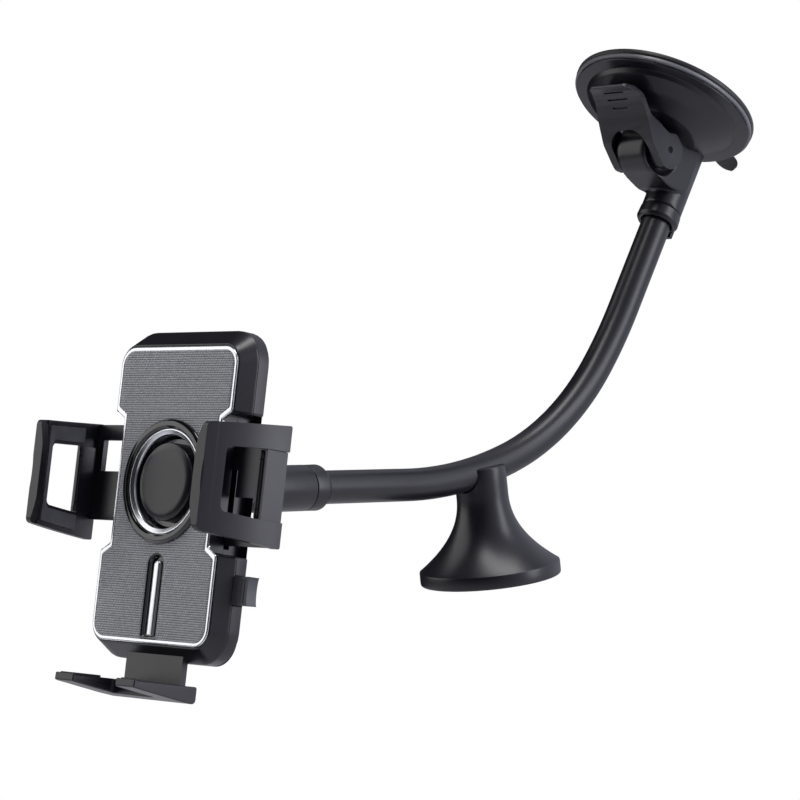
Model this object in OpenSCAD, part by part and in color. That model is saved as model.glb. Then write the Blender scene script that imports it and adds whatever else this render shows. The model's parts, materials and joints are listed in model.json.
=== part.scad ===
// Long-arm car phone mount. A suction cup with a lock lever holds a gooseneck
// arm. A bell foot steadies the arm on the dashboard, and a ball joint carries
// a spring-latched phone cradle with two side grips and a sliding bottom foot.
// Frame: origin at the centre of the suction face, +Y away from the driver,
// +X to the right as the driver sees it, +Z up. Millimetres.

/* [Suction cup] */
// Tilt of the cup axis and of the neck above horizontal, degrees
cup_tilt = 59.5; // [50:0.5:65]
// Diameter of the suction pad
cup_d = 80; // [74:1:84]
// Thickness of the suction pad's rim
pad_t = 2.5; // [2:0.1:3]
// Largest radius of the dome
dome_r = 33.4; // [31:0.1:34]
// Radius of the flat top of the dome
dome_top_r = 14; // [13:0.5:16]
// Depth of the dome's flat top behind the suction face
dome_top = 15.8; // [15:0.1:16]
// Depth of the lever pivot behind the suction face
pivot_depth = 25.5; // [25:0.1:26]
// How far the lock lever draws the stem
stem_travel = 1.2; // [0.8:0.1:1.3]

/* [Lock lever] */
// Angle of the locked lever from the cup's forward direction, degrees
lever_angle = 155.4; // [153:0.1:158]
// Length from the pivot to the thumb lip
lever_len = 35; // [32:0.5:36]
// Width across the two legs
lever_w = 27.6; // [26:0.1:29]
// Width of the arch between the legs
lever_gap = 19.8; // [19.4:0.1:20]
// Radius of the leg ends around the pivot
leg_end_r = 7.6; // [7:0.1:7.7]

/* [Gooseneck] */
// Outer diameter of the gooseneck sleeve
tube_d = 12.9; // [12:0.1:13]
// Offset of the neck axis from the cup axis
neck_off = 21.4; // [21:0.1:23]
// Depth of the neck's lower edge behind the suction face
neck_depth = 42.2; // [42:0.1:46]
// Outer diameter of the neck
neck_d = 17.5; // [17:0.1:19]
// Straight stretch below the neck
top_straight = 48.5; // [40:0.5:60]
// Radius of the upper bend
upper_r = 206; // [190:1:220]
// Sweep of the upper bend, degrees
upper_sweep = 8.3; // [7:0.1:10]
// Radius of the middle bend
middle_r = 119; // [110:1:130]
// Sweep of the middle bend, degrees
middle_sweep = 32.8; // [30:0.1:35]
// Radius of the lower bend
low_r = 185; // [170:1:200]
// Straight stretch from the lower bend to the ball
low_straight = 98.5; // [90:0.5:110]

/* [Dashboard foot] */
// Diameter of the foot's base
foot_d = 57; // [50:1:64]
// Height of the base's straight rim band
foot_band = 5.7; // [4:0.1:7]
// Diameter of the foot's neck
foot_neck_d = 21; // [20:0.1:24]
// Height from the base to the tube's axis
foot_h = 44; // [40:0.5:50]
// Tilt of the foot from vertical, degrees
foot_tilt = 8.5; // [6:0.5:11]

/* [Cradle] */
// Pitch of the cradle back from vertical, degrees
cradle_pitch = 8.5; // [0:0.5:15]
// Width of the cradle body
body_w = 70; // [69:0.1:71]
// Top of the body above the ring's centre
body_top = 56.3; // [55:0.1:58]
// Bottom of the body below the ring's centre
body_bottom = 64.8; // [63:0.1:68]
// Corner radius of the body
body_r = 12.5; // [10:0.5:14]
// Depth of the body behind its front trim
body_t = 17; // [17:0.1:18]
// Depth of the sloping bevel round the front
bevel_t = 6.6; // [5:0.1:7]
// Width of the bevel at the top and bottom
bevel_w = 5.8; // [4:0.1:6]
// Width of the bevel at the sides
side_bevel = 2.4; // [2:0.1:3]
// Depth where the sides start to slope in towards the back
shoulder_y = 12; // [12:0.1:13]
// Half width of the flat back
back_hw = 28.5; // [28.3:0.1:30]
// Half height of the side pockets that the grips slide into
pocket_h = 25.5; // [25:0.1:26]
// Half width of the body between the pockets
waist = 27.1; // [26.8:0.1:27.4]
// Outer radius of the round dish in the face
dish_r = 23; // [21:0.1:23.5]

/* [Side grips] */
// Distance of the grips' outer faces from the centre, fully open
grip_out = 54; // [53.5:0.1:55]
// Depth of a grip, back to front
grip_depth = 34.3; // [32:0.1:36]
// Half height of a grip at the back
grip_h = 22; // [21:0.1:22.5]
// Thickness of the slide rails
rail_t = 2.2; // [2:0.1:2.4]

/* [Bottom foot] */
// Outer width across the two prongs
fork_w = 44.4; // [42:0.1:46]
// Width of one prong
prong_w = 10.4; // [9:0.1:11]
// Depth of the prongs, back to front
prong_len = 29.4; // [27:0.1:33]
// Half width of the sliding stem
stem_hw = 15.6; // [14:0.1:16]

/* [Hidden] */
$fn = 64;
tiny = 0.01;         // keeps cutters clear of the faces they cut
run = 0.05;          // radial clearance of a running fit
gap = 0.3;           // clearance between sliding pieces

// colours
black = [0.07, 0.07, 0.08];
satin = [0.16, 0.16, 0.2];
graphite = [0.28, 0.28, 0.33];
silver = [0.8, 0.81, 0.84];
steel = [0.6, 0.61, 0.63];

// ---- places ----
tube_r = tube_d / 2;
core_r = 4.5;
neck_r = neck_d / 2;
function dir(h) = [cos(h), sin(h)];
function left_of(h) = [-sin(h), cos(h)];
// end of an arc of radius r, followed backwards from heading h1 to h0
function arc_back(p, r, h1, h0) = p + r * (left_of(h1) - left_of(h0));

// route of the gooseneck in the Y-Z plane, from the neck down to the ball
heading_a = cup_tilt;                        // heading at the top
heading_b = heading_a - upper_sweep;           // between upper and middle bends
heading_c = heading_b - middle_sweep;           // between middle and lower bends
route_top = neck_off * [sin(cup_tilt), -cos(cup_tilt)] - neck_depth * dir(cup_tilt);
route_a = route_top - top_straight * dir(heading_a);
route_b = arc_back(route_a, upper_r, heading_a, heading_b);
route_c = arc_back(route_b, middle_r, heading_b, heading_c);
route_d = arc_back(route_c, low_r, heading_c, 0);
ball_at = route_d - [low_straight, 0];
centre_a = route_a + upper_r * left_of(heading_a);
centre_b = route_b + middle_r * left_of(heading_b);
centre_c = route_c + low_r * left_of(heading_c);

flex_len = 12;                               // stretch that bends at a joint
flex_h = 41;                                 // heading at the upper bend joint
flex_half = flex_len / 2 / middle_r * 180 / PI;
flex_low = 18.2;                             // lower bend joint, before the bend
ferrule_r = 8.8;
ferrule_from = 13.8;                         // distances behind the ball's centre
ferrule_seam = 43.3;
ferrule_to = 50.9;
foot_heading = 13.2;                         // heading where the foot sits
foot_at = centre_c - low_r * left_of(foot_heading);
ball_depth = 25;                             // ball centre behind the trim plane
ball_r = 7.5;
seat_r = 8.5;                                // outer radius of the ball seat
collet_r = 9.6;                              // outer radius of the collet
socket_r = 12.4;                             // outer radius of the threaded socket
nut_r = 16.5;

module at_cup() { rotate([cup_tilt - 90, 0, 0]) children(); }
module at_lever() {
  at_cup() translate([0, 0, -pivot_depth]) rotate([lever_angle, 0, 0]) children();
}
// local Y along the tube at point p with heading h
module at_route(p, h) { translate([0, p[0], p[1]]) rotate([h, 0, 0]) children(); }
module at_ball() { translate([0, ball_at[0], ball_at[1]]) children(); }
// cradle frame: X right, Z up the face, Y into the body from the trim plane
module at_cradle() {
  at_ball() rotate([-cradle_pitch, 0, 0]) translate([0, -ball_depth, 0]) children();
}

// ---- helpers ----
// cylinder along Y from y0 to y1
module rod_y(r, y0, y1) { translate([0, y0, 0]) rotate([-90, 0, 0]) cylinder(r = r, h = y1 - y0); }
// cylinder along X, centred
module rod_x(r, w) { rotate([0, 90, 0]) cylinder(r = r, h = w, center = true); }
// tube along Y
module pipe_y(ro, ri, y0, y1) {
  difference() {
    rod_y(ro, y0, y1);
    rod_y(ri, y0 - 1, y1 + 1);
  }
}
// arc of a round bar or tube in the Y-Z plane about centre c, headings h0 to h1
module bend(c, r, h0, h1, ro, ri) {
  trim = tiny / r * 180 / PI;                // stretches meet a hair apart
  translate([0, c[0], c[1]]) rotate([90, 0, 90]) rotate([0, 0, h0 + trim - 90])
    rotate_extrude(angle = h1 - h0 - 2 * trim, $fn = 180) translate([r, 0]) difference() {
      circle(r = ro, $fn = 64);
      if (ri > 0) circle(r = ri, $fn = 64);
    }
}
module straight(p, h, len, ro, ri) {
  at_route(p, h) if (ri > 0) pipe_y(ro, ri, 0, len); else rod_y(ro, 0, len);
}
// flat plate between depths y0 and y1, its outline drawn in X-Z
module plate(y0, y1) { translate([0, y1, 0]) rotate([90, 0, 0]) linear_extrude(y1 - y0) children(); }
module rounded(x0, z0, x1, z1, r) {
  translate([x0 + r, z0]) square([x1 - x0 - 2 * r, z1 - z0]);
  translate([x0, z0 + r]) square([x1 - x0, z1 - z0 - 2 * r]);
  for (x = [x0 + r, x1 - r], z = [z0 + r, z1 - r]) translate([x, z]) circle(r = r);
}
// box given by its two corners
module block(a, b) { translate(a) cube(b - a); }
// coil of round wire along Z, open ends
module coil(r, wire, turns, len) {
  steps = 14;
  sides = 6;
  n = turns * steps;
  pts = [for (i = [0:n], k = [0:sides - 1])
    let (t = i / steps * 360, a = k * 360 / sides, q = r + wire * cos(a))
      [q * cos(t), q * sin(t), len * i / n + wire * sin(a)]];
  caps = [[for (k = [0:sides - 1]) k], [for (k = [sides - 1:-1:0]) n * sides + k]];
  walls = [for (i = [0:n - 1], k = [0:sides - 1]) let (m = (k + 1) % sides)
    [i * sides + k, (i + 1) * sides + k, (i + 1) * sides + m, i * sides + m]];
  polyhedron(points = pts, faces = concat(caps, walls), convexity = 6);
}

// ---- suction cup ----
module suction_pad() {
  boss_r = 11;
  boss_z = 9;
  color(black) at_cup() rotate_extrude(convexity = 4) difference() {
    union() {
      translate([0, -pad_t]) square([cup_d / 2 - 1, pad_t]);
      translate([cup_d / 2 - 1, -pad_t / 2]) scale([1, 1.25]) circle(r = 1);
      translate([0, -boss_z]) square([boss_r, boss_z]);
    }
    // pocket round the stem's head
    translate([0, -6.5]) square([9.2, 3.5]);
    translate([0, -boss_z - 1]) square([4.3, boss_z - 3]);
  }
}

module rim_band() {
  color(graphite) at_cup() rotate_extrude() polygon([
    [36, -pad_t], [39.5, -pad_t], [39.7, -pad_t - 0.3], [39.7, -pad_t - 1.4],
    [39.4, -pad_t - 1.7], [36, -pad_t - 1.7]]);
}

module dome_solid() {
  flange_r = 38.6;
  flange_z = pad_t + 1.7;
  rotate_extrude() polygon([
    [0, -flange_z], [flange_r, -flange_z], [flange_r, -flange_z - 0.9],
    [dome_r + 0.6, -flange_z - 1.7], [dome_r, -flange_z - 2.4],
    [dome_r - 2, -flange_z - 3.6], [dome_top_r, -dome_top], [0, -dome_top]]);
}
module cup_housing() {
  color(satin) at_cup() difference() {
    dome_solid();
    rotate_extrude() polygon([[0, 0], [dome_r - 2, 0], [dome_r - 2, -5.6],
      [dome_top_r - 1, 2.2 - dome_top], [0, 2.2 - dome_top]]);
    cylinder(r = 4 + gap, h = 60, center = true);
  }
}

module neck() {
  hub_r = 10.5;
  hub_w = 18.6;
  bore_len = 12;
  color(satin) at_cup() difference() {
    union() {
      // round neck that takes the gooseneck
      translate([0, neck_off, -neck_depth]) cylinder(r = neck_r, h = neck_depth - 8);
      // hub between the lever's legs, blended into the neck
      intersection() {
        translate([-hub_w / 2, 0, 0]) rotate([90, 0, 90]) linear_extrude(hub_w) {
          translate([0, -pivot_depth]) circle(r = hub_r);
          translate([0, -pivot_depth - hub_r]) square([neck_off, hub_r + 14]);
          translate([-hub_r, -pivot_depth]) square([hub_r, 12]);
        }
        translate([0, 0, -60]) cylinder(r = neck_off + 3, h = 60);
      }
    }
    dome_solid();
    // bore for the gooseneck's end
    translate([0, neck_off, -neck_depth - 1]) cylinder(r = tube_r + run, h = bore_len + 1);
    // bore for the draw stem, and slots for its pin
    translate([0, 0, -pivot_depth - 5.5]) cylinder(r = 4 + run, h = 40);
    for (dz = [-0.4, 0.4, stem_travel + 0.3])
      translate([0, 0, dz - pivot_depth]) rod_x(1.5 + gap, 40);
  }
}

module draw_stem() {
  color(steel) at_cup() difference() {
    union() {
      translate([0, 0, -pivot_depth - 3.8]) cylinder(r = 4, h = pivot_depth - 1);
      translate([0, 0, -6.2]) cylinder(r = 9, h = 1.8);
    }
    translate([0, 0, -pivot_depth]) rod_x(1.5, 20);
  }
}

module stem_spring() {
  color(steel) at_cup() translate([0, 0, 2.8 - dome_top]) coil(5.6, 0.5, 2.5, 3.4);
}

module pivot_pin() {
  color(steel) at_cup() translate([0, 0, -pivot_depth]) rod_x(1.5, lever_w);
}

// side outline of the lever in its own Y-Z plane, +Z away from the dome
module lever_outline() {
  polygon(concat([for (a = [270:-10:100]) leg_end_r * [cos(a), sin(a)]], [
    [0, leg_end_r], [5, 7.9], [9, 7.6], [14, 6.4], [20, 4.6], [26, 3.2],
    [31, 3.8], [lever_len, 5.8], [lever_len + 0.8, 4.6], [lever_len - 1.2, 3],
    [32, 1.6], [27, 0.8], [20, 1.6], [16, 1.6], [12, -1.6], [6, -4.8]]));
}
module lock_lever() {
  arch = 15;                // where the arch between the legs ends
  plate_t = 2.4;            // thickness of the thumb plate
  grooves = [31.5, 27.5, 23.5];
  color(satin) at_lever() difference() {
    intersection() {
      rotate([90, 0, 90]) linear_extrude(lever_w, center = true) lever_outline();
      // plan view: round thumb end, straight legs
      translate([0, 0, -20]) linear_extrude(40) {
        translate([-lever_w / 2, -leg_end_r]) square([lever_w, lever_len]);
        translate([-lever_w / 2 + 6, 10]) square([lever_w - 12, lever_len]);
        for (s = [-1, 1]) translate([s * (lever_w / 2 - 8), lever_len - 7.2]) circle(r = 8);
      }
    }
    // arch that clears the hub
    translate([0, 0, -20]) linear_extrude(40) {
      translate([-lever_gap / 2, -20]) square([lever_gap, arch + 13]);
      translate([0, arch - 7]) scale([1.1, 1]) circle(r = lever_gap / 2.2);
    }
    // hollow behind the thumb plate
    translate([0, 0, -plate_t]) rotate([90, 0, 90]) linear_extrude(lever_w - 5.2, center = true)
      polygon([[8, 8.4], [14, 6.4], [20, 4.6], [26, 3.2], [26, -9], [8, -9]]);
    for (y = grooves) translate([-4, y, 3.9]) cube([y < 25 ? 8 : 11, 0.9, 1.6], center = true);
    rod_x(1.5 + run, lever_w + 2);
  }
}

module pull_tab() {
  tab_r = 6;
  color(black) at_cup() rotate([0, 0, -9]) difference() {
    translate([0, 0, -pad_t - 1.9]) linear_extrude(1.8) {
      translate([-tab_r, 38]) square([2 * tab_r, 5]);
      translate([0, 43]) scale([1, 0.6]) circle(r = tab_r);
    }
    cylinder(r = 39.7, h = 20, center = true);
  }
}

module neck_ring() {
  ring_h = 6;
  color(satin) at_cup() translate([0, neck_off, -neck_depth]) {
    difference() {
      rotate_extrude() polygon([[tube_r + 1, 0], [neck_r + 0.1, 0], [neck_r + 0.4, -ring_h + 1],
        [neck_r - 0.3, -ring_h], [tube_r + 1, -ring_h]]);
      cylinder(r = tube_r + 0.3, h = 20, center = true);
    }
    // snap clip on the forward side
    translate([-2.5, neck_r - 1.6, -ring_h - 2]) cube([5, 1.8, 3]);
  }
}

// ---- gooseneck ----
module tube_upper(ro, ri) {
  plug = 11;
  straight(route_a, heading_a, top_straight + plug, ro, ri);
  bend(centre_a, upper_r, heading_b, heading_a, ro, ri);
  bend(centre_b, middle_r, flex_h + flex_half, heading_b, ro, ri);
}
module tube_middle(ro, ri) {
  bend(centre_b, middle_r, heading_c, flex_h - flex_half, ro, ri);
  bend(centre_c, low_r, 0, heading_c, ro, ri);
  straight(route_d - [flex_low - flex_len / 2, 0], 0, flex_low - flex_len / 2, ro, ri);
}
low_len = low_straight - flex_low - flex_len / 2 - ferrule_to + 14;
module tube_lower(ro, ri) {
  straight(ball_at + [ferrule_to - 14, 0], 0, low_len, ro, ri);
}
module sleeve_upper() { color(satin) tube_upper(tube_r, core_r + 0.1); }
module core_upper() { color(steel) tube_upper(core_r, 0); }
module sleeve_middle() { color(satin) tube_middle(tube_r, core_r + 0.1); }
module core_middle() { color(steel) tube_middle(core_r, 0); }
module sleeve_lower() { color(satin) tube_lower(tube_r, core_r + 0.1); }
module core_lower() { color(steel) tube_lower(core_r, 0); }
module flex_upper() {
  color(satin) bend(centre_b, middle_r, flex_h - flex_half, flex_h + flex_half, tube_r - 0.1, 0);
}
module flex_lower() {
  color(satin) straight(route_d - [flex_low + flex_len / 2, 0], 0, flex_len, tube_r - 0.1, 0);
}

module ferrule() {
  cup_from = ferrule_to - 14;
  color(satin) at_ball() difference() {
    translate([0, ferrule_from, 0]) rotate([-90, 0, 0]) rotate_extrude() polygon([
      [0, 0], [ferrule_r - 2.2, 0], [ferrule_r, 3], [ferrule_r, ferrule_seam - ferrule_from],
      [0, ferrule_seam - ferrule_from]]);
    rod_y(tube_r, cup_from, ferrule_to + 1);
    rod_y(4, 0, cup_from + 1);
  }
}
module ferrule_ring() {
  color(satin) at_ball() translate([0, ferrule_seam, 0]) rotate([-90, 0, 0])
    rotate_extrude() difference() {
      polygon([[tube_r, 0.1], [ferrule_r - 0.3, 0.1], [ferrule_r, 0.5],
        [ferrule_r, ferrule_to - ferrule_seam - 1.4], [ferrule_r - 0.4, ferrule_to - ferrule_seam - 0.4],
        [ferrule_r - 1.4, ferrule_to - ferrule_seam], [tube_r, ferrule_to - ferrule_seam]]);
    }
}

// ---- ball joint ----
module ball_stud() {
  color(graphite) at_ball() {
    sphere(r = ball_r, $fn = 96);
    rod_y(4, ball_r - 1.5, ferrule_to - 14);
  }
}
// part of a spherical shell about the ball, open for the stud at the back
module ball_shell(ro, ri, open, closed) {
  at_cradle() translate([0, ball_depth, 0]) rotate([-90, 0, 0]) rotate_extrude($fn = 96)
    intersection() {
      difference() {
        circle(r = ro, $fn = 128);
        circle(r = ri, $fn = 128);
      }
      translate([0, closed]) square([ro + 1, open - closed]);
    }
}
module ball_seat() { color(black) ball_shell(seat_r, ball_r + run, 4.2, -7); }
module ball_collet() { color(graphite) ball_shell(collet_r, seat_r + run, 4.8, -8); }
module ring_nut() {
  grips = 12;
  color(satin) at_cradle() difference() {
    rod_y(nut_r, body_t + 0.4, 31);
    rod_y(socket_r + run, body_t, 29.2);
    rod_y(9.2, 20, 40);
    for (i = [0:grips - 1]) rotate([0, i * 360 / grips, 0]) translate([nut_r + 1.2, 0, 0]) rod_y(2, 19, 40);
  }
}

// ---- dashboard foot ----
flare = 2.2;                                 // how sharply the bell flares
function bell_r(h) = foot_neck_d / 2 + (foot_d / 2 - 0.5 - foot_neck_d / 2)
  * pow(max(0, (34 - h) / (34 - foot_band)), flare);
module at_foot() { translate([0, foot_at[0], foot_at[1]]) rotate([foot_tilt, 0, 0]) children(); }
module bell(shrink, h0, h1) {
  steps = 16;
  rotate_extrude() polygon(concat([[0, h0]],
    h0 < foot_band ? [[foot_d / 2 - shrink - 0.4, h0], [foot_d / 2 - shrink, h0 + 0.5],
      [foot_d / 2 - shrink, foot_band - 0.4]] : [],
    [for (i = [0:steps]) let (h = foot_band + (34 - foot_band) * i / steps) [bell_r(h) - shrink, h]],
    [[foot_neck_d / 2 - shrink, h1], [0, h1]]));
}
module dash_foot() {
  ear = 2;                                   // height of the ears above the tube's axis
  color(satin) at_foot() difference() {
    translate([0, 0, -foot_h]) difference() {
      bell(0, 0, foot_h + ear);
      translate([0, 0, -1]) bell(2.4, 0, 30);
      translate([0, 0, -1]) cylinder(r = foot_d / 2 - 1.5, h = 2.6);
    }
    rotate([foot_heading - foot_tilt, 0, 0]) rod_y(tube_r + 0.45, -40, 40);
  }
}
module dash_pad() {
  color(black) at_foot() translate([0, 0, -foot_h]) cylinder(r = foot_d / 2 - 1.6, h = 1.6);
}

// ---- cradle body ----
wall = 2;
part_y = 7;                                  // parting plane of the two covers
inner_y = body_t - wall;                     // inside of the back wall
rail_y = part_y + gap;                       // front of the slide rails
rail_back = rail_y + rail_t;
stem_y = 3.8;                                // front of the bottom foot's stem
stem_t = 2.6;
button_z = -37.4;
pinion_bore = 2;
pawl_y = rail_back - 0.2;                    // front of the latch pawl
module at_pawl() { translate([18, 0, -28.5]) children(); }
module body_outline(inset) {
  x = body_w / 2 - inset;
  difference() {
    rounded(-x, -body_bottom + inset, x, body_top - inset, body_r - inset);
    for (s = [-1, 1]) translate([s * (waist - inset + 20), 0])
      square([40, 2 * (pocket_h + inset)], center = true);
  }
}
// openings that both covers share
module body_cuts() {
  // slots for the slide rails
  for (s = [-1, 1]) translate([s * (waist + 2), rail_y + rail_t / 2, 0])
    cube([12, rail_t + 2 * gap, 46], center = true);
  // slot for the bottom foot's stem
  block([-stem_hw - gap, stem_y - gap, -70], [stem_hw + gap, stem_y + stem_t + gap, -50]);
  // hole for the release button
  block([25, 6.3, button_z - 5.4], [40, 11.7, button_z + 5.4]);
}
screw_at = [[-25, 44], [25, 44], [-25, -54], [25, -54]];
module at_screws() { for (p = screw_at) translate([p[0], 0, p[1]]) children(); }

module back_cover() {
  color(satin) at_cradle() difference() {
    union() {
      difference() {
        plate(part_y, body_t) body_outline(0);
        plate(part_y - 1, shoulder_y - 0.4) body_outline(wall);
        plate(part_y, inner_y) body_outline(wall + 5);
      }
      // the back wall runs full width behind the grips
      plate(inner_y, body_t) rounded(-body_w / 2, -body_bottom, body_w / 2, body_top, body_r);
      // threaded socket for the ball
      rod_y(socket_r, body_t - 1, 29);
      // pinion post with a shoulder, and ribs that carry the slide rails
      rod_y(pinion_bore, 4.6, body_t);
      rod_y(pinion_bore + 1.6, rail_back + gap, body_t);
      for (z = [-19, -10, 10, 19])
        block([-20, rail_back + gap, z - 0.6], [20, inner_y + 1, z + 0.6]);
      // rib behind the button's spring, post for the pawl
      block([17.6, 8, button_z - 4], [19.4, body_t - 1, button_z + 2]);
      at_pawl() rod_y(1, pawl_y - 1, body_t - 1);
      at_screws() rod_y(3.2, 9, body_t - 1);
    }
    body_cuts();
    // sloping sides at the back
    for (s = [-1, 1]) scale([s, 1, 1]) translate([0, 0, -100]) linear_extrude(200)
      polygon([[body_w / 2, shoulder_y], [back_hw, body_t], [back_hw, body_t + 1],
        [body_w / 2 + 1, body_t + 1], [body_w / 2 + 1, shoulder_y]]);
    translate([0, ball_depth, 0]) sphere(r = collet_r + run, $fn = 96);
    rod_y(collet_r + run, ball_depth, 31);
    at_screws() {
      rod_y(1.5, 0, 20);
      rod_y(2.8, body_t - 1.6, 20);
    }
  }
}

module front_cover() {
  color(satin) at_cradle() difference() {
    union() {
      intersection() {
        hull() {
          plate(0, tiny) rounded(-body_w / 2 + side_bevel, -body_bottom + bevel_w - 0.4,
            body_w / 2 - side_bevel, body_top - bevel_w - 0.2, 7.4, $fn = 32);
          plate(bevel_t, part_y) rounded(-body_w / 2, -body_bottom, body_w / 2, body_top, body_r,
            $fn = 32);
        }
        plate(-1, part_y) body_outline(0);
      }
      at_screws() rod_y(3, 2, 9 - tiny);
    }
    difference() {
      plate(2, part_y + 1) body_outline(wall + bevel_w);
      at_screws() rod_y(3, 0, 9);
    }
    difference() {
      plate(5.2, part_y + 1) body_outline(wall);
      at_screws() rod_y(3, 0, 9);
    }
    body_cuts();
    // recess for the face pad, dish and groove
    plate(-1, 0.8) rounded(-face_hw, face_z0, face_hw, face_z1, face_r);
    rod_y(19.6, -1, 6);
    plate(-1, 1.85) groove_slot(4.75, -57.4);
    at_screws() rod_y(1.25, 4, 20);
  }
}

face_hw = 32.1;
face_z0 = -59;
face_z1 = 49.6;
face_r = 6.8;
trim_w = 1.6;
// trim outline: a rounded frame with a narrower waist, cut corners between them
module face_outline(inset) {
  w = waist - inset;
  difference() {
    rounded(-face_hw + inset, face_z0 + inset, face_hw - inset, face_z1 - inset, face_r - inset);
    for (s = [-1, 1]) scale([s, 1]) polygon([
      [face_hw + 5, -26 - inset], [face_hw - inset, -26 - inset], [w, -23 - inset],
      [w, 23 + inset], [face_hw - inset, 26 + inset], [face_hw + 5, 26 + inset]]);
  }
}
module face_pad() {
  color(graphite) at_cradle() difference() {
    plate(-0.2, 0.8) face_outline(trim_w);
    rod_y(dish_r + 0.05, -2, 3);
    plate(-2, 3) groove_slot(4.75, -60);
  }
}
module trim_frame() {
  color(silver) at_cradle() difference() {
    plate(-0.6, 0.8) difference() {
      face_outline(0);
      face_outline(trim_w);
    }
    rod_y(dish_r + 0.05, -2, 3);
  }
}
module ring_y(profile) {
  rotate([-90, 0, 0]) rotate_extrude($fn = 96) polygon(profile);
}
module dish_ring() {
  // raised lip, sloping bowl and floor
  color(black) at_cradle() difference() {
    ring_y([[0, 4], [16, 4], [19.4, 1.1], [19.5, -1.4], [20.4, -2], [21.8, -2], [22.7, -1.4],
      [dish_r, -0.4], [dish_r, 0.8], [19.55, 0.8], [19.55, 3], [17.5, 5.2], [0, 5.2]]);
    rod_y(pinion_bore + 0.2, 0, 10);
  }
}
module chrome_ring() {
  color(silver) at_cradle()
    ring_y([[16.8, 0.1], [17, -0.2], [19, -0.9], [19.4, -0.9], [19.4, 0.9], [16.8, 3.2]]);
}
module centre_cap() {
  color(satin) at_cradle() difference() {
    ring_y([[0, -1.5], [7, -1.35], [11, -1.05], [13.6, -0.6], [14.3, 0], [14.3, 3.9], [0, 3.9]]);
    rod_y(pinion_bore + 0.2, 1, 10);
  }
}
// slot with a round top end, half width w, down to z0
groove_top = -30.6;                          // centre of the round end
module groove_slot(w, z0) {
  translate([-w, z0]) square([2 * w, groove_top - z0]);
  translate([0, groove_top]) circle(r = w);
}
module groove_channel() {
  color(black) at_cradle() difference() {
    plate(-0.6, 1.8) groove_slot(4.7, -57.25);
    plate(-1, 1) groove_slot(3.5, -60);
  }
}
module groove_strip() {
  color(silver) at_cradle() plate(0, 0.95) groove_slot(1.8, -57.2);
}
module cover_screws() {
  color(steel) at_cradle() at_screws() difference() {
    union() {
      rod_y(1.25, 5, body_t - 1);
      rod_y(2.6, body_t - 1.6, body_t - 0.2);
    }
    rod_y(1, body_t - 1, 20, $fn = 6);
  }
}

// ---- rack, pinion and side grips, drawn for the right side ----
teeth = 12;
pitch_r = 5;
tooth_p = 2 * PI * pitch_r / teeth;          // rack pitch
rail_z = [5.75, 14.2];                       // rack rail
guide_z = [-21.6, -15.9];                    // plain guide rail
wide_z = -4.1;                               // lower edge where the rack rail widens
wide_x = 30;                                 // where it widens
window_x = 47;                               // outer end of the gap between the rails
bow_r = 95;                                  // bow of the grips' outer faces
shell_t = 3.6;                               // wall of a grip
liner_t = 1.2;
lip_x = grip_out - 12;                       // inner edge of the front lip
lip_t = 2.6;
grip_back = rail_back;
grip_front = grip_back - grip_depth;
window_front = grip_front + 7.8;
window_h = [11.4, 12.6];                     // half heights of the window, front and back
post_front = -0.2;                           // the end post closes the window from here
post_h = 12.5;                               // its half height
post_x = [grip_out - 4.5, grip_out - 1];
module rack_tooth() { polygon([[-0.9, 0], [-0.32, -1.25], [0.32, -1.25], [0.9, 0]]); }
module side(s) { at_cradle() if (s < 0) rotate([0, 180, 0]) children(); else children(); }
module slide(s) {
  end_x = grip_out - shell_t - 0.15;
  color(satin) side(s) {
    plate(rail_y, rail_back) {
      translate([-4, rail_z[0]]) square([end_x + 4, rail_z[1] - rail_z[0]]);
      translate([5, guide_z[0]]) square([end_x - 5, guide_z[1] - guide_z[0]]);
      translate([window_x, guide_z[0]]) square([end_x - window_x, rail_z[1] - guide_z[0]]);
      translate([wide_x, wide_z]) square([end_x - wide_x, 11]);
      for (i = [-1:6]) translate([(i + 0.5) * tooth_p, rail_z[0]]) rack_tooth();
    }
    // end post between the legs of the grip
    block([post_x[0], post_front, -post_h], [post_x[1], rail_back, post_h]);
  }
}
module slide_left() { slide(-1); }
module slide_right() { slide(1); }

// side view of a grip, depth against height, made smaller by an inset
module grip_side(inset) {
  front_h = 19 - inset;
  corner = 4.6 - inset;
  back = grip_back + 1 - inset;
  front = grip_front + inset;
  polygon(concat(
    [[back, -grip_h + inset], [back, grip_h - inset]],
    [for (a = [90:15:180]) [front + corner + corner * cos(a), front_h - corner + corner * sin(a)]],
    [for (a = [180:15:270]) [front + corner + corner * cos(a), corner - front_h + corner * sin(a)]]));
}
module grip_window(inset) {
  front = window_front - inset;
  back_h = window_h[1] + inset;
  polygon([[grip_back + 9, -back_h], [post_front, -back_h], [front, -window_h[0] - inset],
    [front, window_h[0] + inset], [post_front, back_h], [grip_back + 9, back_h]]);
}
module across_x(x0, x1) {
  translate([x0, 0, 0]) rotate([90, 0, 90]) linear_extrude(x1 - x0) children();
}
// bowed wall between two depths below the outer face
module bowed(t0, t1) {
  translate([grip_out - bow_r, grip_back, 0]) difference() {
    cylinder(r = bow_r - t0, h = 60, center = true, $fn = 360);
    cylinder(r = bow_r - t1, h = 80, center = true, $fn = 360);
  }
}
module grip_frame(s) {
  color(satin) side(s) union() {
    intersection() {
      bowed(0, shell_t);
      difference() {
        across_x(lip_x, grip_out) grip_side(0);
        across_x(lip_x - 1, grip_out + 1) grip_window(0);
        block([0, grip_back, -40], [grip_out + 1, 40, 40]);
      }
    }
    // front lip
    intersection() {
      bowed(0, 20);
      across_x(lip_x, grip_out) grip_side(0);
      block([lip_x, grip_front - 1, -40], [grip_out, grip_front + lip_t, 40]);
    }
  }
}
module grip_frame_left() { grip_frame(-1); }
module grip_frame_right() { grip_frame(1); }
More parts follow.
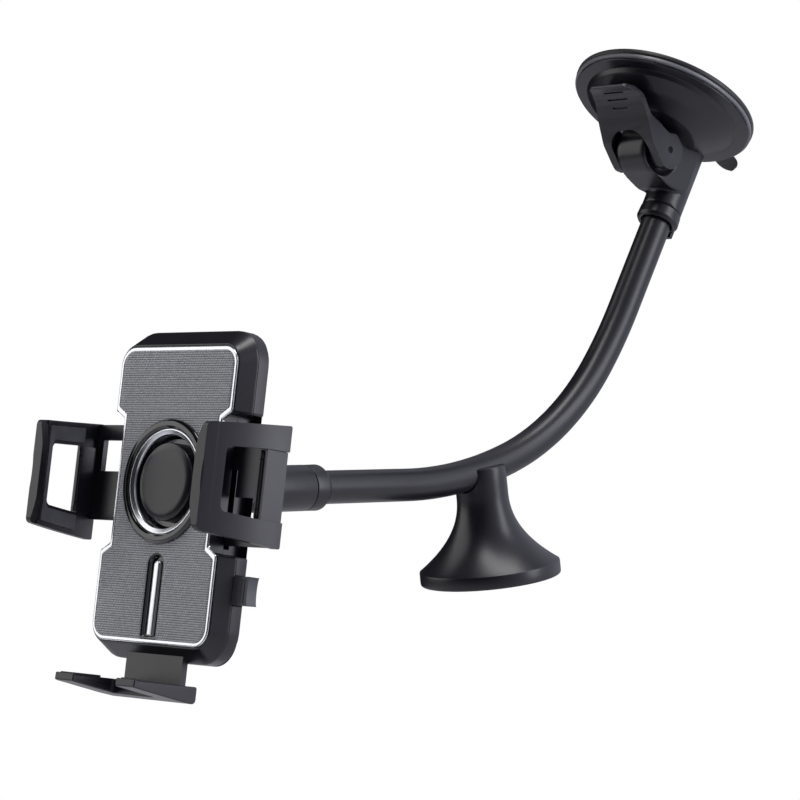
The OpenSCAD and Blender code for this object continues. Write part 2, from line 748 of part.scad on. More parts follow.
// inner pad that frames the window
module grip_liner(s) {
  color(graphite) side(s) intersection() {
    bowed(shell_t + tiny, shell_t + liner_t);
    difference() {
      across_x(lip_x, grip_out) grip_side(2.2);
      across_x(lip_x - 1, grip_out + 1) grip_window(1);
      block([0, post_front - 0.4, -40], [grip_out, 40, 40]);
      block([0, -60, -40], [grip_out, grip_front + lip_t + 1.8, 40]);
    }
  }
}
module grip_liner_left() { grip_liner(-1); }
module grip_liner_right() { grip_liner(1); }

module pinion() {
  // one tooth's outline, from right to left so that the teeth run counterclockwise
  flank = [[0.85, 3.5], [0.72, 4.1], [0.46, 5], [0.2, 5.6], [-0.2, 5.6], [-0.46, 5], [-0.72, 4.1],
    [-0.85, 3.5]];
  color(graphite) at_cradle() difference() {
    plate(rail_y, rail_back)
      polygon([for (i = [0:teeth - 1], p = flank) let (a = i * 360 / teeth)
        [p[0] * cos(a) - p[1] * sin(a), p[0] * sin(a) + p[1] * cos(a)]]);
    rod_y(pinion_bore + run, 0, 20);
  }
}

// ---- release button ----
button_out = 43.2;
module release_button() {
  color(graphite) at_cradle() {
    difference() {
      block([30, 6.6, button_z - 5.15], [button_out, 11.4, button_z + 5.15]);
      translate([button_out + 19.6, 9, button_z]) rotate([90, 0, 0])
        cylinder(r = 20, h = 20, center = true, $fn = 128);
    }
    block([29.4, 6.6, button_z - 6.4], [31.6, 11.4, button_z + 6.4]);
    translate([0, 0, button_z]) rotate([0, 90, 0]) translate([0, 9, 26]) cylinder(r = 1.4, h = 4);
  }
}
module button_spring() {
  color(steel) at_cradle() translate([19.9, 9, button_z]) rotate([0, 90, 0]) coil(2.1, 0.3, 6, 9);
}
module latch_pawl() {
  color(steel) at_cradle() at_pawl() difference() {
    plate(pawl_y, pawl_y + 2) polygon([[-2, 1], [-3.2, 6], [-2.4, 6.4], [-0.8, 5], [1.6, 1.6],
      [2.2, 0], [4.2, -2.6], [2.6, -3.8], [0.6, -2.1], [-1.4, -1.7], [-2.2, -0.6]]);
    rod_y(1 + run, 0, 20);
  }
}

// ---- bottom foot ----
fork_top = -72.8;
fork_back = stem_y + stem_t;
module foot_stem() {
  color(satin) at_cradle() difference() {
    plate(stem_y, fork_back) translate([-stem_hw, fork_top]) square([2 * stem_hw, 44]);
    // finger slot that lightens the plate
    plate(0, 20) rounded(-7, -54, 7, -36, 3);
  }
}
module foot_fork() {
  tip = fork_back - prong_len;
  color(satin) at_cradle() difference() {
    translate([-fork_w / 2, 0, 0]) rotate([90, 0, 90]) linear_extrude(fork_w)
      polygon([[fork_back, fork_top], [fork_back, fork_top - 6.5], [-2, fork_top - 5.6],
        [tip + 2, fork_top - 3], [tip, fork_top - 2.6], [tip, fork_top]]);
    // gap between the prongs
    translate([0, 0, fork_top - 10]) linear_extrude(20) {
      translate([-fork_w / 2 + prong_w, tip - 1]) square([fork_w - 2 * prong_w, prong_len - 9]);
    }
  }
}
module fork_pads() {
  tip = fork_back - prong_len;
  color(black) at_cradle() for (s = [-1, 1])
    translate([s * (fork_w - prong_w) / 2, 0, 0])
      block([-prong_w / 2 + 1, tip + 1, fork_top + tiny], [prong_w / 2 - 1, tip + 14, fork_top + 0.8]);
}

suction_pad();
rim_band();
cup_housing();
neck();
draw_stem();
stem_spring();
lock_lever();
pivot_pin();
pull_tab();
neck_ring();
sleeve_upper();
core_upper();
flex_upper();
sleeve_middle();
core_middle();
flex_lower();
sleeve_lower();
core_lower();
ferrule();
ferrule_ring();
ball_stud();
ball_seat();
ball_collet();
ring_nut();
dash_foot();
dash_pad();
back_cover();
front_cover();
face_pad();
trim_frame();
dish_ring();
chrome_ring();
centre_cap();
groove_channel();
groove_strip();
slide_left();
slide_right();
grip_frame_left();
grip_frame_right();
grip_liner_left();
grip_liner_right();
pinion();
release_button();
button_spring();
latch_pawl();
foot_stem();
foot_fork();
fork_pads();
cover_screws();
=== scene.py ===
import json
import math

import bmesh
import bpy
from mathutils import Matrix, Vector


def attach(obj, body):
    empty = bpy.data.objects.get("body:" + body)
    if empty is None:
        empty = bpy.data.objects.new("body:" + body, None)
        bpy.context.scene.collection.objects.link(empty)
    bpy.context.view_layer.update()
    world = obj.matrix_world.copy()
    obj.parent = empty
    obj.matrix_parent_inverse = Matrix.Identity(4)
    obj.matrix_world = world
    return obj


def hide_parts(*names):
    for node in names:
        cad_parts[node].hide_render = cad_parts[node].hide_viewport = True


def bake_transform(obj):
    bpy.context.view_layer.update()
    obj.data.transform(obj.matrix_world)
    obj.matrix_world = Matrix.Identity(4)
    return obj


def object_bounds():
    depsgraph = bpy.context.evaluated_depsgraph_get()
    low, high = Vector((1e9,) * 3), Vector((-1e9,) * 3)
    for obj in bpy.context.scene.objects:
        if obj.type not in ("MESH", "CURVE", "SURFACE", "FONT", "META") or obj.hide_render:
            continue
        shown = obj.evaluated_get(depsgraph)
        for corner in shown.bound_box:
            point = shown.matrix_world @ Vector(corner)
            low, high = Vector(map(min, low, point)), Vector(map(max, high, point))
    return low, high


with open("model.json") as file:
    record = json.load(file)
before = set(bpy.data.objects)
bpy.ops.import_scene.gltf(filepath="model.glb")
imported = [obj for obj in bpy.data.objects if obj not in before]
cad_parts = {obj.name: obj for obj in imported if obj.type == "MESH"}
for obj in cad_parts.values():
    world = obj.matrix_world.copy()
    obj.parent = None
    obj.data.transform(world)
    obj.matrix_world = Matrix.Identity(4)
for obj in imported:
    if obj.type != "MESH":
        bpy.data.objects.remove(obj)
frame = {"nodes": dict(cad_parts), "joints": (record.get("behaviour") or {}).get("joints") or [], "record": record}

cad_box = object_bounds()
MM = 0.001
joints = {j["name"]: j for j in frame["joints"]}
mounts = {m["name"]: m for m in frame["record"]["mounts"]}
nodes = frame["nodes"]


# ---------------------------------------------------------------- frames
def axes_at(point, x, y, z):
    """Matrix from local millimetres to the row frame in metres."""
    m = Matrix((x, y, z)).transposed() * MM
    m = m.to_4x4()
    m.translation = Vector(point)
    return m


RIGHT = Vector((1, 0, 0))
NECK_Y, HUB_Z, NECK_END = 21.4, -25.5, -42.2         # neck and hub, in the cup's frame
LEVER_TURN = 155.4                                   # turn of the lever plate about the hub, degrees
BALL_BEHIND = 25.0                                   # ball centre behind the cradle's face
cup_axis = Vector(mounts["suction_face"]["axis"])
CUP = axes_at((0, 0, 0), RIGHT, cup_axis.cross(RIGHT), cup_axis)
ball = Vector(joints["ball_roll"]["pos_m"])
depth = Vector(joints["ball_roll"]["axis"])          # from the cradle's face to its back
CRADLE = axes_at(ball - depth * BALL_BEHIND * MM, RIGHT, depth, RIGHT.cross(depth))
BALL = axes_at(ball, RIGHT, Vector((0, 1, 0)), Vector((0, 0, 1)))
foot_axis = -Vector(mounts["dash_base"]["axis"])
FOOT = axes_at(mounts["dash_base"]["pos_m"], RIGHT, foot_axis.cross(RIGHT), foot_axis)
HUB = CUP @ Matrix.Translation((0, 0, HUB_Z))
LEVER = HUB @ Matrix.Rotation(math.radians(LEVER_TURN), 4, "X")
FLIP = Matrix.Rotation(math.pi, 4, "Y")              # the left grip is the right one, turned
GRIP = {"right": CRADLE, "left": CRADLE @ FLIP}


# ---------------------------------------------------------------- mesh helpers
def mesh_object(name, verts, faces, matrix):
    mesh = bpy.data.meshes.new(name)
    mesh.from_pydata([matrix @ Vector(v) for v in verts], [], faces)
    bm = bmesh.new()
    bm.from_mesh(mesh)
    bmesh.ops.remove_doubles(bm, verts=bm.verts, dist=1e-7)
    bmesh.ops.recalc_face_normals(bm, faces=bm.faces)
    bm.to_mesh(mesh)
    bm.free()
    obj = bpy.data.objects.new(name, mesh)
    bpy.context.scene.collection.objects.link(obj)
    return obj


def around(count):
    """Evenly spaced angles of one full turn."""
    return [2 * math.pi * k / count for k in range(count)]


def both_sides(half):
    """Right half of an outline and its mirror image, as one loop of corners."""
    return half + [(-x, z, r) for x, z, r in reversed(half)]


def top_and_bottom(half):
    """Upper half of an outline and its mirror image, as one loop of corners."""
    return half + [(y, -z, r) for y, z, r in reversed(half)]


def fillet(points, steps=6):
    """Polyline through (a, b, radius) corners, each rounded by an arc."""
    out = []
    n = len(points)
    for i, (x, y, r) in enumerate(points):
        p = Vector((x, y))
        if r <= 0:
            out.append((x, y))
            continue
        a = Vector(points[i - 1][:2]) - p
        b = Vector(points[(i + 1) % n][:2]) - p
        turn = a.angle(b)
        cut = min(r / math.tan(turn / 2), a.length * 0.499, b.length * 0.499)
        r = cut * math.tan(turn / 2)
        a.normalize()
        b.normalize()
        centre = p + (a + b).normalized() * (r / math.sin(turn / 2))
        start, end = p + a * cut - centre, p + b * cut - centre
        sweep = math.atan2(start.cross(end), start.dot(end))
        for k in range(steps + 1):
            q = Matrix.Rotation(sweep * k / steps, 2) @ start
            out.append(tuple(centre + q))
    return out


def lathe(name, profile, matrix, axis="Z", segments=128):
    """Solid or ring of revolution from a closed (radius, height) outline."""
    verts, faces = [], []
    n = len(profile)
    for t in around(segments):
        for r, h in profile:
            x, y = r * math.cos(t), r * math.sin(t)
            verts.append((x, y, h) if axis == "Z" else (x, h, y) if axis == "Y" else (h, x, y))
    for k in range(segments):
        for i in range(n):
            j, m = (i + 1) % n, (k + 1) % segments
            if profile[i][0] < 1e-6 and profile[j][0] < 1e-6:
                continue
            faces.append((k * n + i, k * n + j, m * n + j, m * n + i))
    return mesh_object(name, verts, faces, matrix)


def loft(name, sections, matrix, closed=False):
    """Skin over point loops of equal length, capped unless the loops close on themselves."""
    n = len(sections[0])
    verts = [p for s in sections for p in s]
    faces = []
    count = len(sections)
    for k in range(count if closed else count - 1):
        a, b = k * n, (k + 1) % count * n
        faces += [(a + i, a + (i + 1) % n, b + (i + 1) % n, b + i) for i in range(n)]
    if not closed:
        faces.append(tuple(range(n - 1, -1, -1)))
        faces.append(tuple(range((count - 1) * n, count * n)))
    return mesh_object(name, verts, faces, matrix)


def slab(name, outline, y0, y1, matrix):
    """Plate between depths y0 and y1 of a cradle-like frame, outline in X-Z."""
    return loft(name, [[(x, y, z) for x, z in outline] for y in (y0, y1)], matrix)


def through(name, outline, x0, x1, matrix):
    """Plate across X between x0 and x1, outline in Y-Z."""
    return loft(name, [[(x, y, z) for y, z in outline] for x in (x0, x1)], matrix)


def across(name, outline, half, matrix):
    """Plate across X, from -half to half, outline in Y-Z."""
    return through(name, outline, -half, half, matrix)


def upright(name, outline, z0, z1, matrix):
    """Prism along Z, outline in X-Y."""
    return loft(name, [[(x, y, z) for x, y in outline] for z in (z0, z1)], matrix)


def bar(name, low, high, matrix):
    """Box between two opposite corners."""
    (x0, y0, z0), (x1, y1, z1) = low, high
    return upright(name, [(x0, y0), (x1, y0), (x1, y1), (x0, y1)], z0, z1, matrix)


def apply_modifiers(obj):
    bpy.context.view_layer.update()
    graph = bpy.context.evaluated_depsgraph_get()
    mesh = bpy.data.meshes.new_from_object(obj.evaluated_get(graph))
    obj.modifiers.clear()
    old = obj.data
    obj.data = mesh
    bpy.data.meshes.remove(old)
    return obj


def boolean(obj, tool, operation="DIFFERENCE"):
    m = obj.modifiers.new("cut", "BOOLEAN")
    m.operation = operation
    m.solver = "EXACT"
    m.object = tool
    apply_modifiers(obj)
    bpy.data.objects.remove(tool)
    return obj


def join(obj, *others):
    for o in others:
        bm = bmesh.new()
        bm.from_mesh(obj.data)
        bm.from_mesh(o.data)
        bm.to_mesh(obj.data)
        bm.free()
        bpy.data.objects.remove(o)
    return obj


def bevel(obj, width, segments, angle):
    """Rounds the edges that are sharper than an angle."""
    b = obj.modifiers.new("edges", "BEVEL")
    b.width = width * MM
    b.segments = segments
    b.limit_method = "ANGLE"
    b.angle_limit = math.radians(angle)
    b.use_clamp_overlap = True


def soften(obj, width, segments=3, angle=30):
    """Rounds the sharp edges with a bevel and keeps flat faces flat."""
    for poly in obj.data.polygons:
        poly.use_smooth = True
    bevel(obj, width, segments, angle)
    w = obj.modifiers.new("normals", "WEIGHTED_NORMAL")
    w.keep_sharp = False
    return obj


def smooth(obj, angle=40):
    obj.data.shade_smooth()
    obj.data.set_sharp_from_angle(angle=math.radians(angle))
    return obj


def remesh(obj, voxel, passes):
    """Melts joined solids into one smooth skin."""
    r = obj.modifiers.new("skin", "REMESH")
    r.mode = "VOXEL"
    r.voxel_size = voxel * MM
    s = obj.modifiers.new("smooth", "SMOOTH")
    s.factor = 0.5
    s.iterations = passes
    apply_modifiers(obj)
    obj.data.shade_smooth()
    return obj


def finished(obj, body, replaced, material):
    """Gives a piece its material, body and replaced CAD nodes."""
    obj.data.materials.clear()
    obj.data.materials.append(material)
    if body:
        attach(obj, body)
    if replaced:
        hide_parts(*replaced)
    return obj


# ---------------------------------------------------------------- materials
def shader(name, colour, rough, metal=0.0, coat=0.0, coat_rough=0.1, specular=0.5, sheen=0.0):
    mat = bpy.data.materials.new(name)
    mat.use_nodes = True
    tree = mat.node_tree
    s = tree.nodes["Principled BSDF"]
    s.inputs["Base Color"].default_value = (*colour, 1)
    s.inputs["Roughness"].default_value = rough
    s.inputs["Metallic"].default_value = metal
    s.inputs["Coat Weight"].default_value = coat
    s.inputs["Coat Roughness"].default_value = coat_rough
    s.inputs["Specular IOR Level"].default_value = specular
    s.inputs["Sheen Weight"].default_value = sheen
    return mat, tree, s


def node(tree, kind, **values):
    n = tree.nodes.new(kind)
    for key, value in values.items():
        if key in n.inputs:
            n.inputs[key].default_value = value
        else:
            setattr(n, key, value)
    return n


def noise(tree, scale, detail=3.0, stretch=(1, 1, 1)):
    where = node(tree, "ShaderNodeTexCoord")
    mapping = node(tree, "ShaderNodeMapping")
    mapping.inputs["Scale"].default_value = stretch
    n = node(tree, "ShaderNodeTexNoise")
    n.inputs["Scale"].default_value = scale
    n.inputs["Detail"].default_value = detail
    tree.links.new(where.outputs["Object"], mapping.inputs["Vector"])
    tree.links.new(mapping.outputs["Vector"], n.inputs["Vector"])
    return n.outputs["Fac"]


def spread(tree, value, low, high):
    r = node(tree, "ShaderNodeMapRange")
    r.inputs["To Min"].default_value = low
    r.inputs["To Max"].default_value = high
    tree.links.new(value, r.inputs["Value"])
    return r.outputs["Result"]


def tint(tree, value, dark, light, target):
    ramp = node(tree, "ShaderNodeValToRGB")
    ramp.color_ramp.elements[0].color = (*dark, 1)
    ramp.color_ramp.elements[1].color = (*light, 1)
    ramp.color_ramp.elements[0].position = 0.3
    ramp.color_ramp.elements[1].position = 0.7
    tree.links.new(value, ramp.inputs["Fac"])
    tree.links.new(ramp.outputs["Color"], target)
    return ramp


def bump(tree, value, strength, distance, s):
    b = node(tree, "ShaderNodeBump")
    b.inputs["Strength"].default_value = strength
    b.inputs["Distance"].default_value = distance
    tree.links.new(value, b.inputs["Height"])
    tree.links.new(b.outputs["Normal"], s.inputs["Normal"])
    return b


def satin_plastic(name, colour, rough=0.36, grain=0.25, edge=1.6):
    """Moulded plastic: fine spark-eroded grain, soft mottling, and sharp edges lightened in the base colour as a
    painted highlight.
    """
    mat, tree, s = shader(name, colour, rough, coat=0.12, coat_rough=0.25)
    fine = noise(tree, 1 / (grain * MM), 2)
    cloud = noise(tree, 45, 4)
    ramp = tint(tree, cloud, [c * 0.86 for c in colour], [c * 1.14 for c in colour],
                s.inputs["Base Color"])
    # painted highlight: the base colour is lightened along sharp convex edges (high pointiness), standing in for
    # the bright edge lines that light draws
    painted_edge_highlight = node(tree, "ShaderNodeMixRGB")
    painted_edge_highlight.inputs["Color2"].default_value = (*[min(1, c * edge + 0.006) for c in colour], 1)
    geometry = node(tree, "ShaderNodeNewGeometry")
    sharp = node(tree, "ShaderNodeMapRange")
    sharp.inputs["From Min"].default_value = 0.53
    sharp.inputs["From Max"].default_value = 0.62
    tree.links.new(geometry.outputs["Pointiness"], sharp.inputs["Value"])
    tree.links.new(sharp.outputs["Result"], painted_edge_highlight.inputs["Fac"])
    tree.links.new(ramp.outputs["Color"], painted_edge_highlight.inputs["Color1"])
    tree.links.new(painted_edge_highlight.outputs["Color"], s.inputs["Base Color"])
    tree.links.new(spread(tree, cloud, rough - 0.05, rough + 0.06), s.inputs["Roughness"])
    bump(tree, fine, 0.12, 0.00003, s)
    return mat


def gloss_plastic(name, colour, rough=0.1):
    mat, tree, s = shader(name, colour, rough, coat=0.6, coat_rough=0.04)
    smear = noise(tree, 60, 5, (1, 1, 3))
    tint(tree, smear, colour, [c * 1.4 for c in colour], s.inputs["Base Color"])
    tree.links.new(spread(tree, smear, rough * 0.6, rough * 1.7), s.inputs["Roughness"])
    bump(tree, noise(tree, 900, 2), 0.03, 0.00005, s)
    return mat


def soft_rubber(name, colour, rough=0.6):
    mat, tree, s = shader(name, colour, rough, sheen=0.15)
    dust = noise(tree, 90, 6)
    tint(tree, dust, [c * 0.8 for c in colour], [c * 1.35 for c in colour], s.inputs["Base Color"])
    tree.links.new(spread(tree, dust, rough - 0.08, rough + 0.1), s.inputs["Roughness"])
    bump(tree, noise(tree, 2600, 3), 0.25, 0.00008, s)
    return mat


def metal(name, colour, rough, brushed=(1, 1, 1), strength=0.08):
    mat, tree, s = shader(name, colour, rough, metal=1.0)
    lines = noise(tree, 700, 4, brushed)
    tint(tree, lines, [c * 0.96 for c in colour], [min(1, c * 1.03) for c in colour],
         s.inputs["Base Color"])
    tree.links.new(spread(tree, lines, rough * 0.9, rough * 1.1), s.inputs["Roughness"])
    bump(tree, lines, strength, 0.00003, s)
    return mat


def woven_pad(name, dark, light, pitch):
    """Woven ribs: each rib is a row of short threads, offset from row to row."""
    mat, tree, s = shader(name, light, 0.62, sheen=0.1)
    where = node(tree, "ShaderNodeUVMap")
    brick = node(tree, "ShaderNodeTexBrick")
    brick.offset = 0.5
    brick.inputs["Scale"].default_value = 1.0
    brick.inputs["Color1"].default_value = (*light, 1)
    brick.inputs["Color2"].default_value = (*[c * 0.8 for c in light], 1)
    brick.inputs["Mortar"].default_value = (*dark, 1)
    brick.inputs["Mortar Size"].default_value = 0.12 * pitch
    brick.inputs["Mortar Smooth"].default_value = 0.6
    brick.inputs["Brick Width"].default_value = 1.1 * pitch
    brick.inputs["Row Height"].default_value = pitch
    tree.links.new(where.outputs["UV"], brick.inputs["Vector"])
    soil = node(tree, "ShaderNodeMixRGB", blend_type="MULTIPLY")
    soil.inputs["Fac"].default_value = 0.5
    cloud = noise(tree, 70, 5)
    shade = node(tree, "ShaderNodeMapRange")
    shade.inputs["To Min"].default_value = 0.7
    shade.inputs["To Max"].default_value = 1.15
    tree.links.new(cloud, shade.inputs["Value"])
    tree.links.new(brick.outputs["Color"], soil.inputs["Color1"])
    tree.links.new(shade.outputs["Result"], soil.inputs["Color2"])
    # painted shade: the base colour darkens smoothly into the furrows between the rows of threads, where the rib
    # geometry dips
    split = node(tree, "ShaderNodeSeparateXYZ")
    phase = node(tree, "ShaderNodeMath", operation="MULTIPLY")
    phase.inputs[1].default_value = math.pi / pitch
    wave = node(tree, "ShaderNodeMath", operation="SINE")
    ridge = node(tree, "ShaderNodeMath", operation="ABSOLUTE")
    rows = node(tree, "ShaderNodeMapRange")
    rows.inputs["From Min"].default_value = 0.5
    rows.inputs["From Max"].default_value = 0.92
    rows.inputs["To Min"].default_value = 0.04
    painted_furrow_shade = node(tree, "ShaderNodeMixRGB", blend_type="MULTIPLY")
    painted_furrow_shade.inputs["Fac"].default_value = 1.0
    tree.links.new(where.outputs["UV"], split.inputs[0])
    tree.links.new(split.outputs["Y"], phase.inputs[0])
    tree.links.new(phase.outputs[0], wave.inputs[0])
    tree.links.new(wave.outputs[0], ridge.inputs[0])
    tree.links.new(ridge.outputs[0], rows.inputs["Value"])
    tree.links.new(soil.outputs["Color"], painted_furrow_shade.inputs["Color1"])
    tree.links.new(rows.outputs["Result"], painted_furrow_shade.inputs["Color2"])
    tree.links.new(painted_furrow_shade.outputs["Color"], s.inputs["Base Color"])
    flip = node(tree, "ShaderNodeMath", operation="SUBTRACT")
    flip.inputs[0].default_value = 1.0
    tree.links.new(brick.outputs["Fac"], flip.inputs[1])
    bump(tree, flip.outputs[0], 0.5, 0.00012, s)
    return mat


PITCH = 0.84                                         # of the pad's ribs, in millimetres
SATIN = satin_plastic("satin_black", (0.008, 0.008, 0.0125), rough=0.32)
BODY = satin_plastic("body_black", (0.007, 0.007, 0.011), rough=0.3)
SLEEVE = satin_plastic("sleeve_black", (0.008, 0.0083, 0.0125), rough=0.34, grain=0.4, edge=1.2)
GRAPHITE = satin_plastic("graphite", (0.075, 0.075, 0.09), rough=0.42)
GLOSS = gloss_plastic("gloss_black", (0.006, 0.006, 0.008))
GEL = soft_rubber("gel_black", (0.003, 0.003, 0.004), rough=0.42)
RIM = satin_plastic("rim_grey", (0.16, 0.16, 0.175), rough=0.3)
RUBBER = soft_rubber("soft_black", (0.016, 0.016, 0.018))
LINER = soft_rubber("liner_rubber", (0.1, 0.1, 0.115), rough=0.45)
CHROME = metal("satin_chrome", (0.8, 0.81, 0.84), 0.24, (1, 1, 1), 0.0)
CAP = satin_plastic("cap_black", (0.009, 0.009, 0.013), rough=0.3)
STRIP = metal("strip_chrome", (0.82, 0.83, 0.86), 0.3, (1, 1, 1), 0.02)
STEEL = metal("drawn_steel", (0.56, 0.56, 0.58), 0.32, (1, 8, 8))
WOVEN = woven_pad("woven_ribs", (0.006, 0.006, 0.008), (0.75, 0.76, 0.8), PITCH)


# ---------------------------------------------------------------- suction cup
def build_cup():
    """Gel pad, rim band, domed housing and pull tab."""
    pad = fillet([(0, 0, 0), (40, 0, 0.9), (40, -2.5, 0.7), (0, -2.5, 0)])
    finished(smooth(lathe("suction_gel", pad, CUP)), "cup", ["suction_pad"], GEL)

    band = fillet([(36, -2.45, 0), (39.6, -2.45, 0.3), (39.75, -4.1, 0.4), (36, -4.1, 0)])
    finished(smooth(lathe("rim_band_ring", band, CUP)), "cup", ["rim_band"], RIM)

    dome = fillet([
        (0, -3, 0), (36, -3, 0), (36, -4.3, 0), (38.7, -4.3, 0.2), (38.7, -5.1, 0.35),
        (33.6, -5.5, 0.5), (32.4, -7.3, 1.6), (26.5, -11.3, 12), (18, -15, 6),
        (13, -16, 2), (0, -16, 0)])
    finished(smooth(lathe("cup_dome", dome, CUP, segments=160), 50), "cup", ["cup_housing"],
             SATIN)

    # pull tab: a rounded tongue that curls away from the glass
    turn = CUP @ Matrix.Rotation(math.radians(-9), 4, "Z")
    tongue = []
    for k in range(13):
        t = k / 12
        y = 37.5 + 8.6 * t
        half = 6 * math.sqrt(max(0.0, 1 - max(0.0, (t - 0.45) / 0.56) ** 2)) + 0.05
        drop = -2.9 - 2.2 * t * t
        thick = 0.85 * (1 - 0.3 * t)
        ring = [(half * math.cos(a), y, drop + thick * math.sin(a))
                for a in around(24)]
        tongue.append(ring)
    tab = loft("pull_tab_tongue", tongue, turn)
    finished(smooth(tab, 60), "cup", ["pull_tab"], RUBBER)


def build_neck():
    """Round neck melted into the hub that the lever straddles."""
    hub = lathe("neck_hub", fillet([(0, 9.3, 0), (10.6, 9.3, 3.6), (10.6, -9.3, 3.6), (0, -9.3, 0)]),
                HUB, axis="X", segments=96)
    neck_at = CUP @ Matrix.Translation((0, NECK_Y, 0))
    neck = lathe("neck_pipe", [(0, -9), (8.75, -9), (8.75, NECK_END), (0, NECK_END)], neck_at)
    trunk = fillet([(-10.2, -11, 3), (NECK_Y, -8, 3), (NECK_Y + 2, -33, 6), (12, -36.2, 8),
                    (-1, -36, 5), (-8, -30, 4)])
    web = across("neck_web", trunk, 9.2, CUP)
    join(hub, neck, web)
    scoops = []
    for s in (-1, 1):
        scoop = lathe("scoop", [(0, 0), (8.3, 0), (9.4, 0.5), (11.6, 2.6), (12.4, 6), (0, 6)],
                      CUP @ Matrix.Translation((s * 7.1, 0, HUB_Z)) @ Matrix.Scale(s, 4, (1, 0, 0)),
                      axis="X", segments=64)
        scoops.append(scoop)
    remesh(hub, 0.5, 5)
    for scoop in scoops:
        boolean(hub, scoop)
    remesh(hub, 0.4, 5)
    boolean(hub, lathe("bore", [(0, -33), (6.6, -33), (6.6, -50), (0, -50)], neck_at))
    smooth(hub, 55)
    finished(hub, "cup", ["neck"], SATIN)

    ring = fillet([(6.9, -42.3, 0.2), (8.9, -42.3, 0.35), (9.2, -47, 0.8), (8.3, -48.4, 0.6),
                   (6.9, -48.4, 0.5)])
    collar = lathe("neck_ring_collar", ring, neck_at)
    clip = bar("clip", (-2.6, 7.9, -50.2), (2.6, 9.6, -46.2), neck_at)
    collar = join(collar, clip)
    finished(soften(collar, 0.3, 2, 50), "cup", ["neck_ring"], SATIN)


def build_lever():
    """Forked lever with a thumb plate, three grip grooves and two bosses."""
    side = fillet([
        (0, 7.9, 4), (9, 7.9, 8), (20, 4.7, 14), (27, 2.9, 10), (31.5, 3.8, 6), (35.4, 6.4, 0.6),
        (36.2, 5.2, 0.6), (33, 2.0, 3), (27, 0.4, 6), (19, 2.4, 6), (14, 0, 5), (6, -3.5, 3),
        (3.2, -7.4, 3), (-4, -7.5, 5), (-7.7, -3, 4), (-7.7, 4, 4), (-4, 7.6, 4)], 5)
    lever = across("lever_plate", side, 13.8, LEVER)
    plan = fillet([(-13.8, -12, 0), (13.8, -12, 0), (13.8, 18, 30), (12.6, 30, 5), (9, 36.6, 5),
                   (-9, 36.6, 5), (-12.6, 30, 5), (-13.8, 18, 30)], 8)
    boolean(lever, upright("plan", plan, -20, 20, LEVER), "INTERSECT")
    arch = fillet([(-9.9, -20, 0), (9.9, -20, 0), (9.9, 14.6, 8.5), (-9.9, 14.6, 8.5)], 10)
    boolean(lever, upright("arch", arch, -20, 20, LEVER))
    under = fillet([(6, 5.9, 0), (14, 4.6, 6), (20, 2.5, 6), (26.5, 0.9, 6), (29, 0.6, 1), (29, -9, 0),
                    (6, -9, 0)], 5)
    boolean(lever, across("under", under, 11.2, LEVER))
    for y, half in ((31.4, 5.5), (27.6, 5.5), (23.8, 4)):
        top = 3.2 if y > 25 else 4.0
        boolean(lever, bar("groove", (-half, y - 0.4, top - 0.9), (half, y + 0.4, top + 3), LEVER))
    # bosses that reach into the hub's scoops
    for s in (-1, 1):
        boss = lathe("boss", fillet([(0, 0, 0), (7.4, 0, 0.5), (7.4, 3.2, 0), (0, 3.2, 0)]),
                     LEVER @ Matrix.Translation((s * 7.5, 0, 0)) @ Matrix.Scale(s, 4, (1, 0, 0)),
                     axis="X", segments=64)
        join(lever, boss)
    soften(lever, 0.45, 3, 35)
    finished(lever, "lever", ["lock_lever"], SATIN)


# ---------------------------------------------------------------- gooseneck
TUBE_R = 6.45
STEP = 1.5                                           # about the distance between rings of the sleeve
TOP_STRAIGHT, END_STRAIGHT, HIDDEN = 48.5, 60.0, 9.0  # HIDDEN runs up inside the neck
UPPER_R, UPPER_SWEEP = 206.0, 8.3                    # arcs, in millimetres and degrees
MIDDLE_R, MIDDLE_SWEEP = 119.0, 32.8
LOW_R = 185.0
bend_joint = Vector(joints["arm_bend"]["pos_m"])
sweep_joint = Vector(joints["arm_sweep"]["pos_m"])
saddle = Vector(joints["dash_foot_swing"]["pos_m"])


def route():
    """Centre line from inside the neck down to the ferrule: y, z in mm, heading in degrees."""
    heading = math.degrees(math.atan2(cup_axis.z, cup_axis.y))
    top = CUP @ Vector((0, NECK_Y, NECK_END))
    y, z = top.y / MM, top.z / MM
    # each is a radius and a sweep, or for a straight stretch a length
    stretches = [(None, TOP_STRAIGHT), (UPPER_R, UPPER_SWEEP), (MIDDLE_R, MIDDLE_SWEEP),
                 (LOW_R, heading - UPPER_SWEEP - MIDDLE_SWEEP), (None, END_STRAIGHT)]
    c, s = math.cos(math.radians(heading)), math.sin(math.radians(heading))
    line = [(y + HIDDEN * c, z + HIDDEN * s, heading)]
    for radius, amount in stretches:
        length = amount if radius is None else radius * math.radians(amount)
        count = max(2, round(length / STEP))
        for _ in range(count):
            turn = 0 if radius is None else math.degrees(length / count / radius)
            middle = math.radians(heading - turn / 2)
            chord = length / count
            line.append((y, z, heading))
            y, z, heading = y - chord * math.cos(middle), z - chord * math.sin(middle), heading - turn
    line.append((y, z, heading))
    return line


def sweep_tube(name, line, radius, segments=56):
    """Round tube along the centre line."""
    loops = []
    for y, z, heading in line:
        h = math.radians(heading)
        up = (-math.sin(h), math.cos(h))
        loops.append([(radius * math.cos(t), y + radius * math.sin(t) * up[0],
                       z + radius * math.sin(t) * up[1])
                      for t in around(segments)])
    return loft(name, loops, Matrix.Scale(MM, 4))


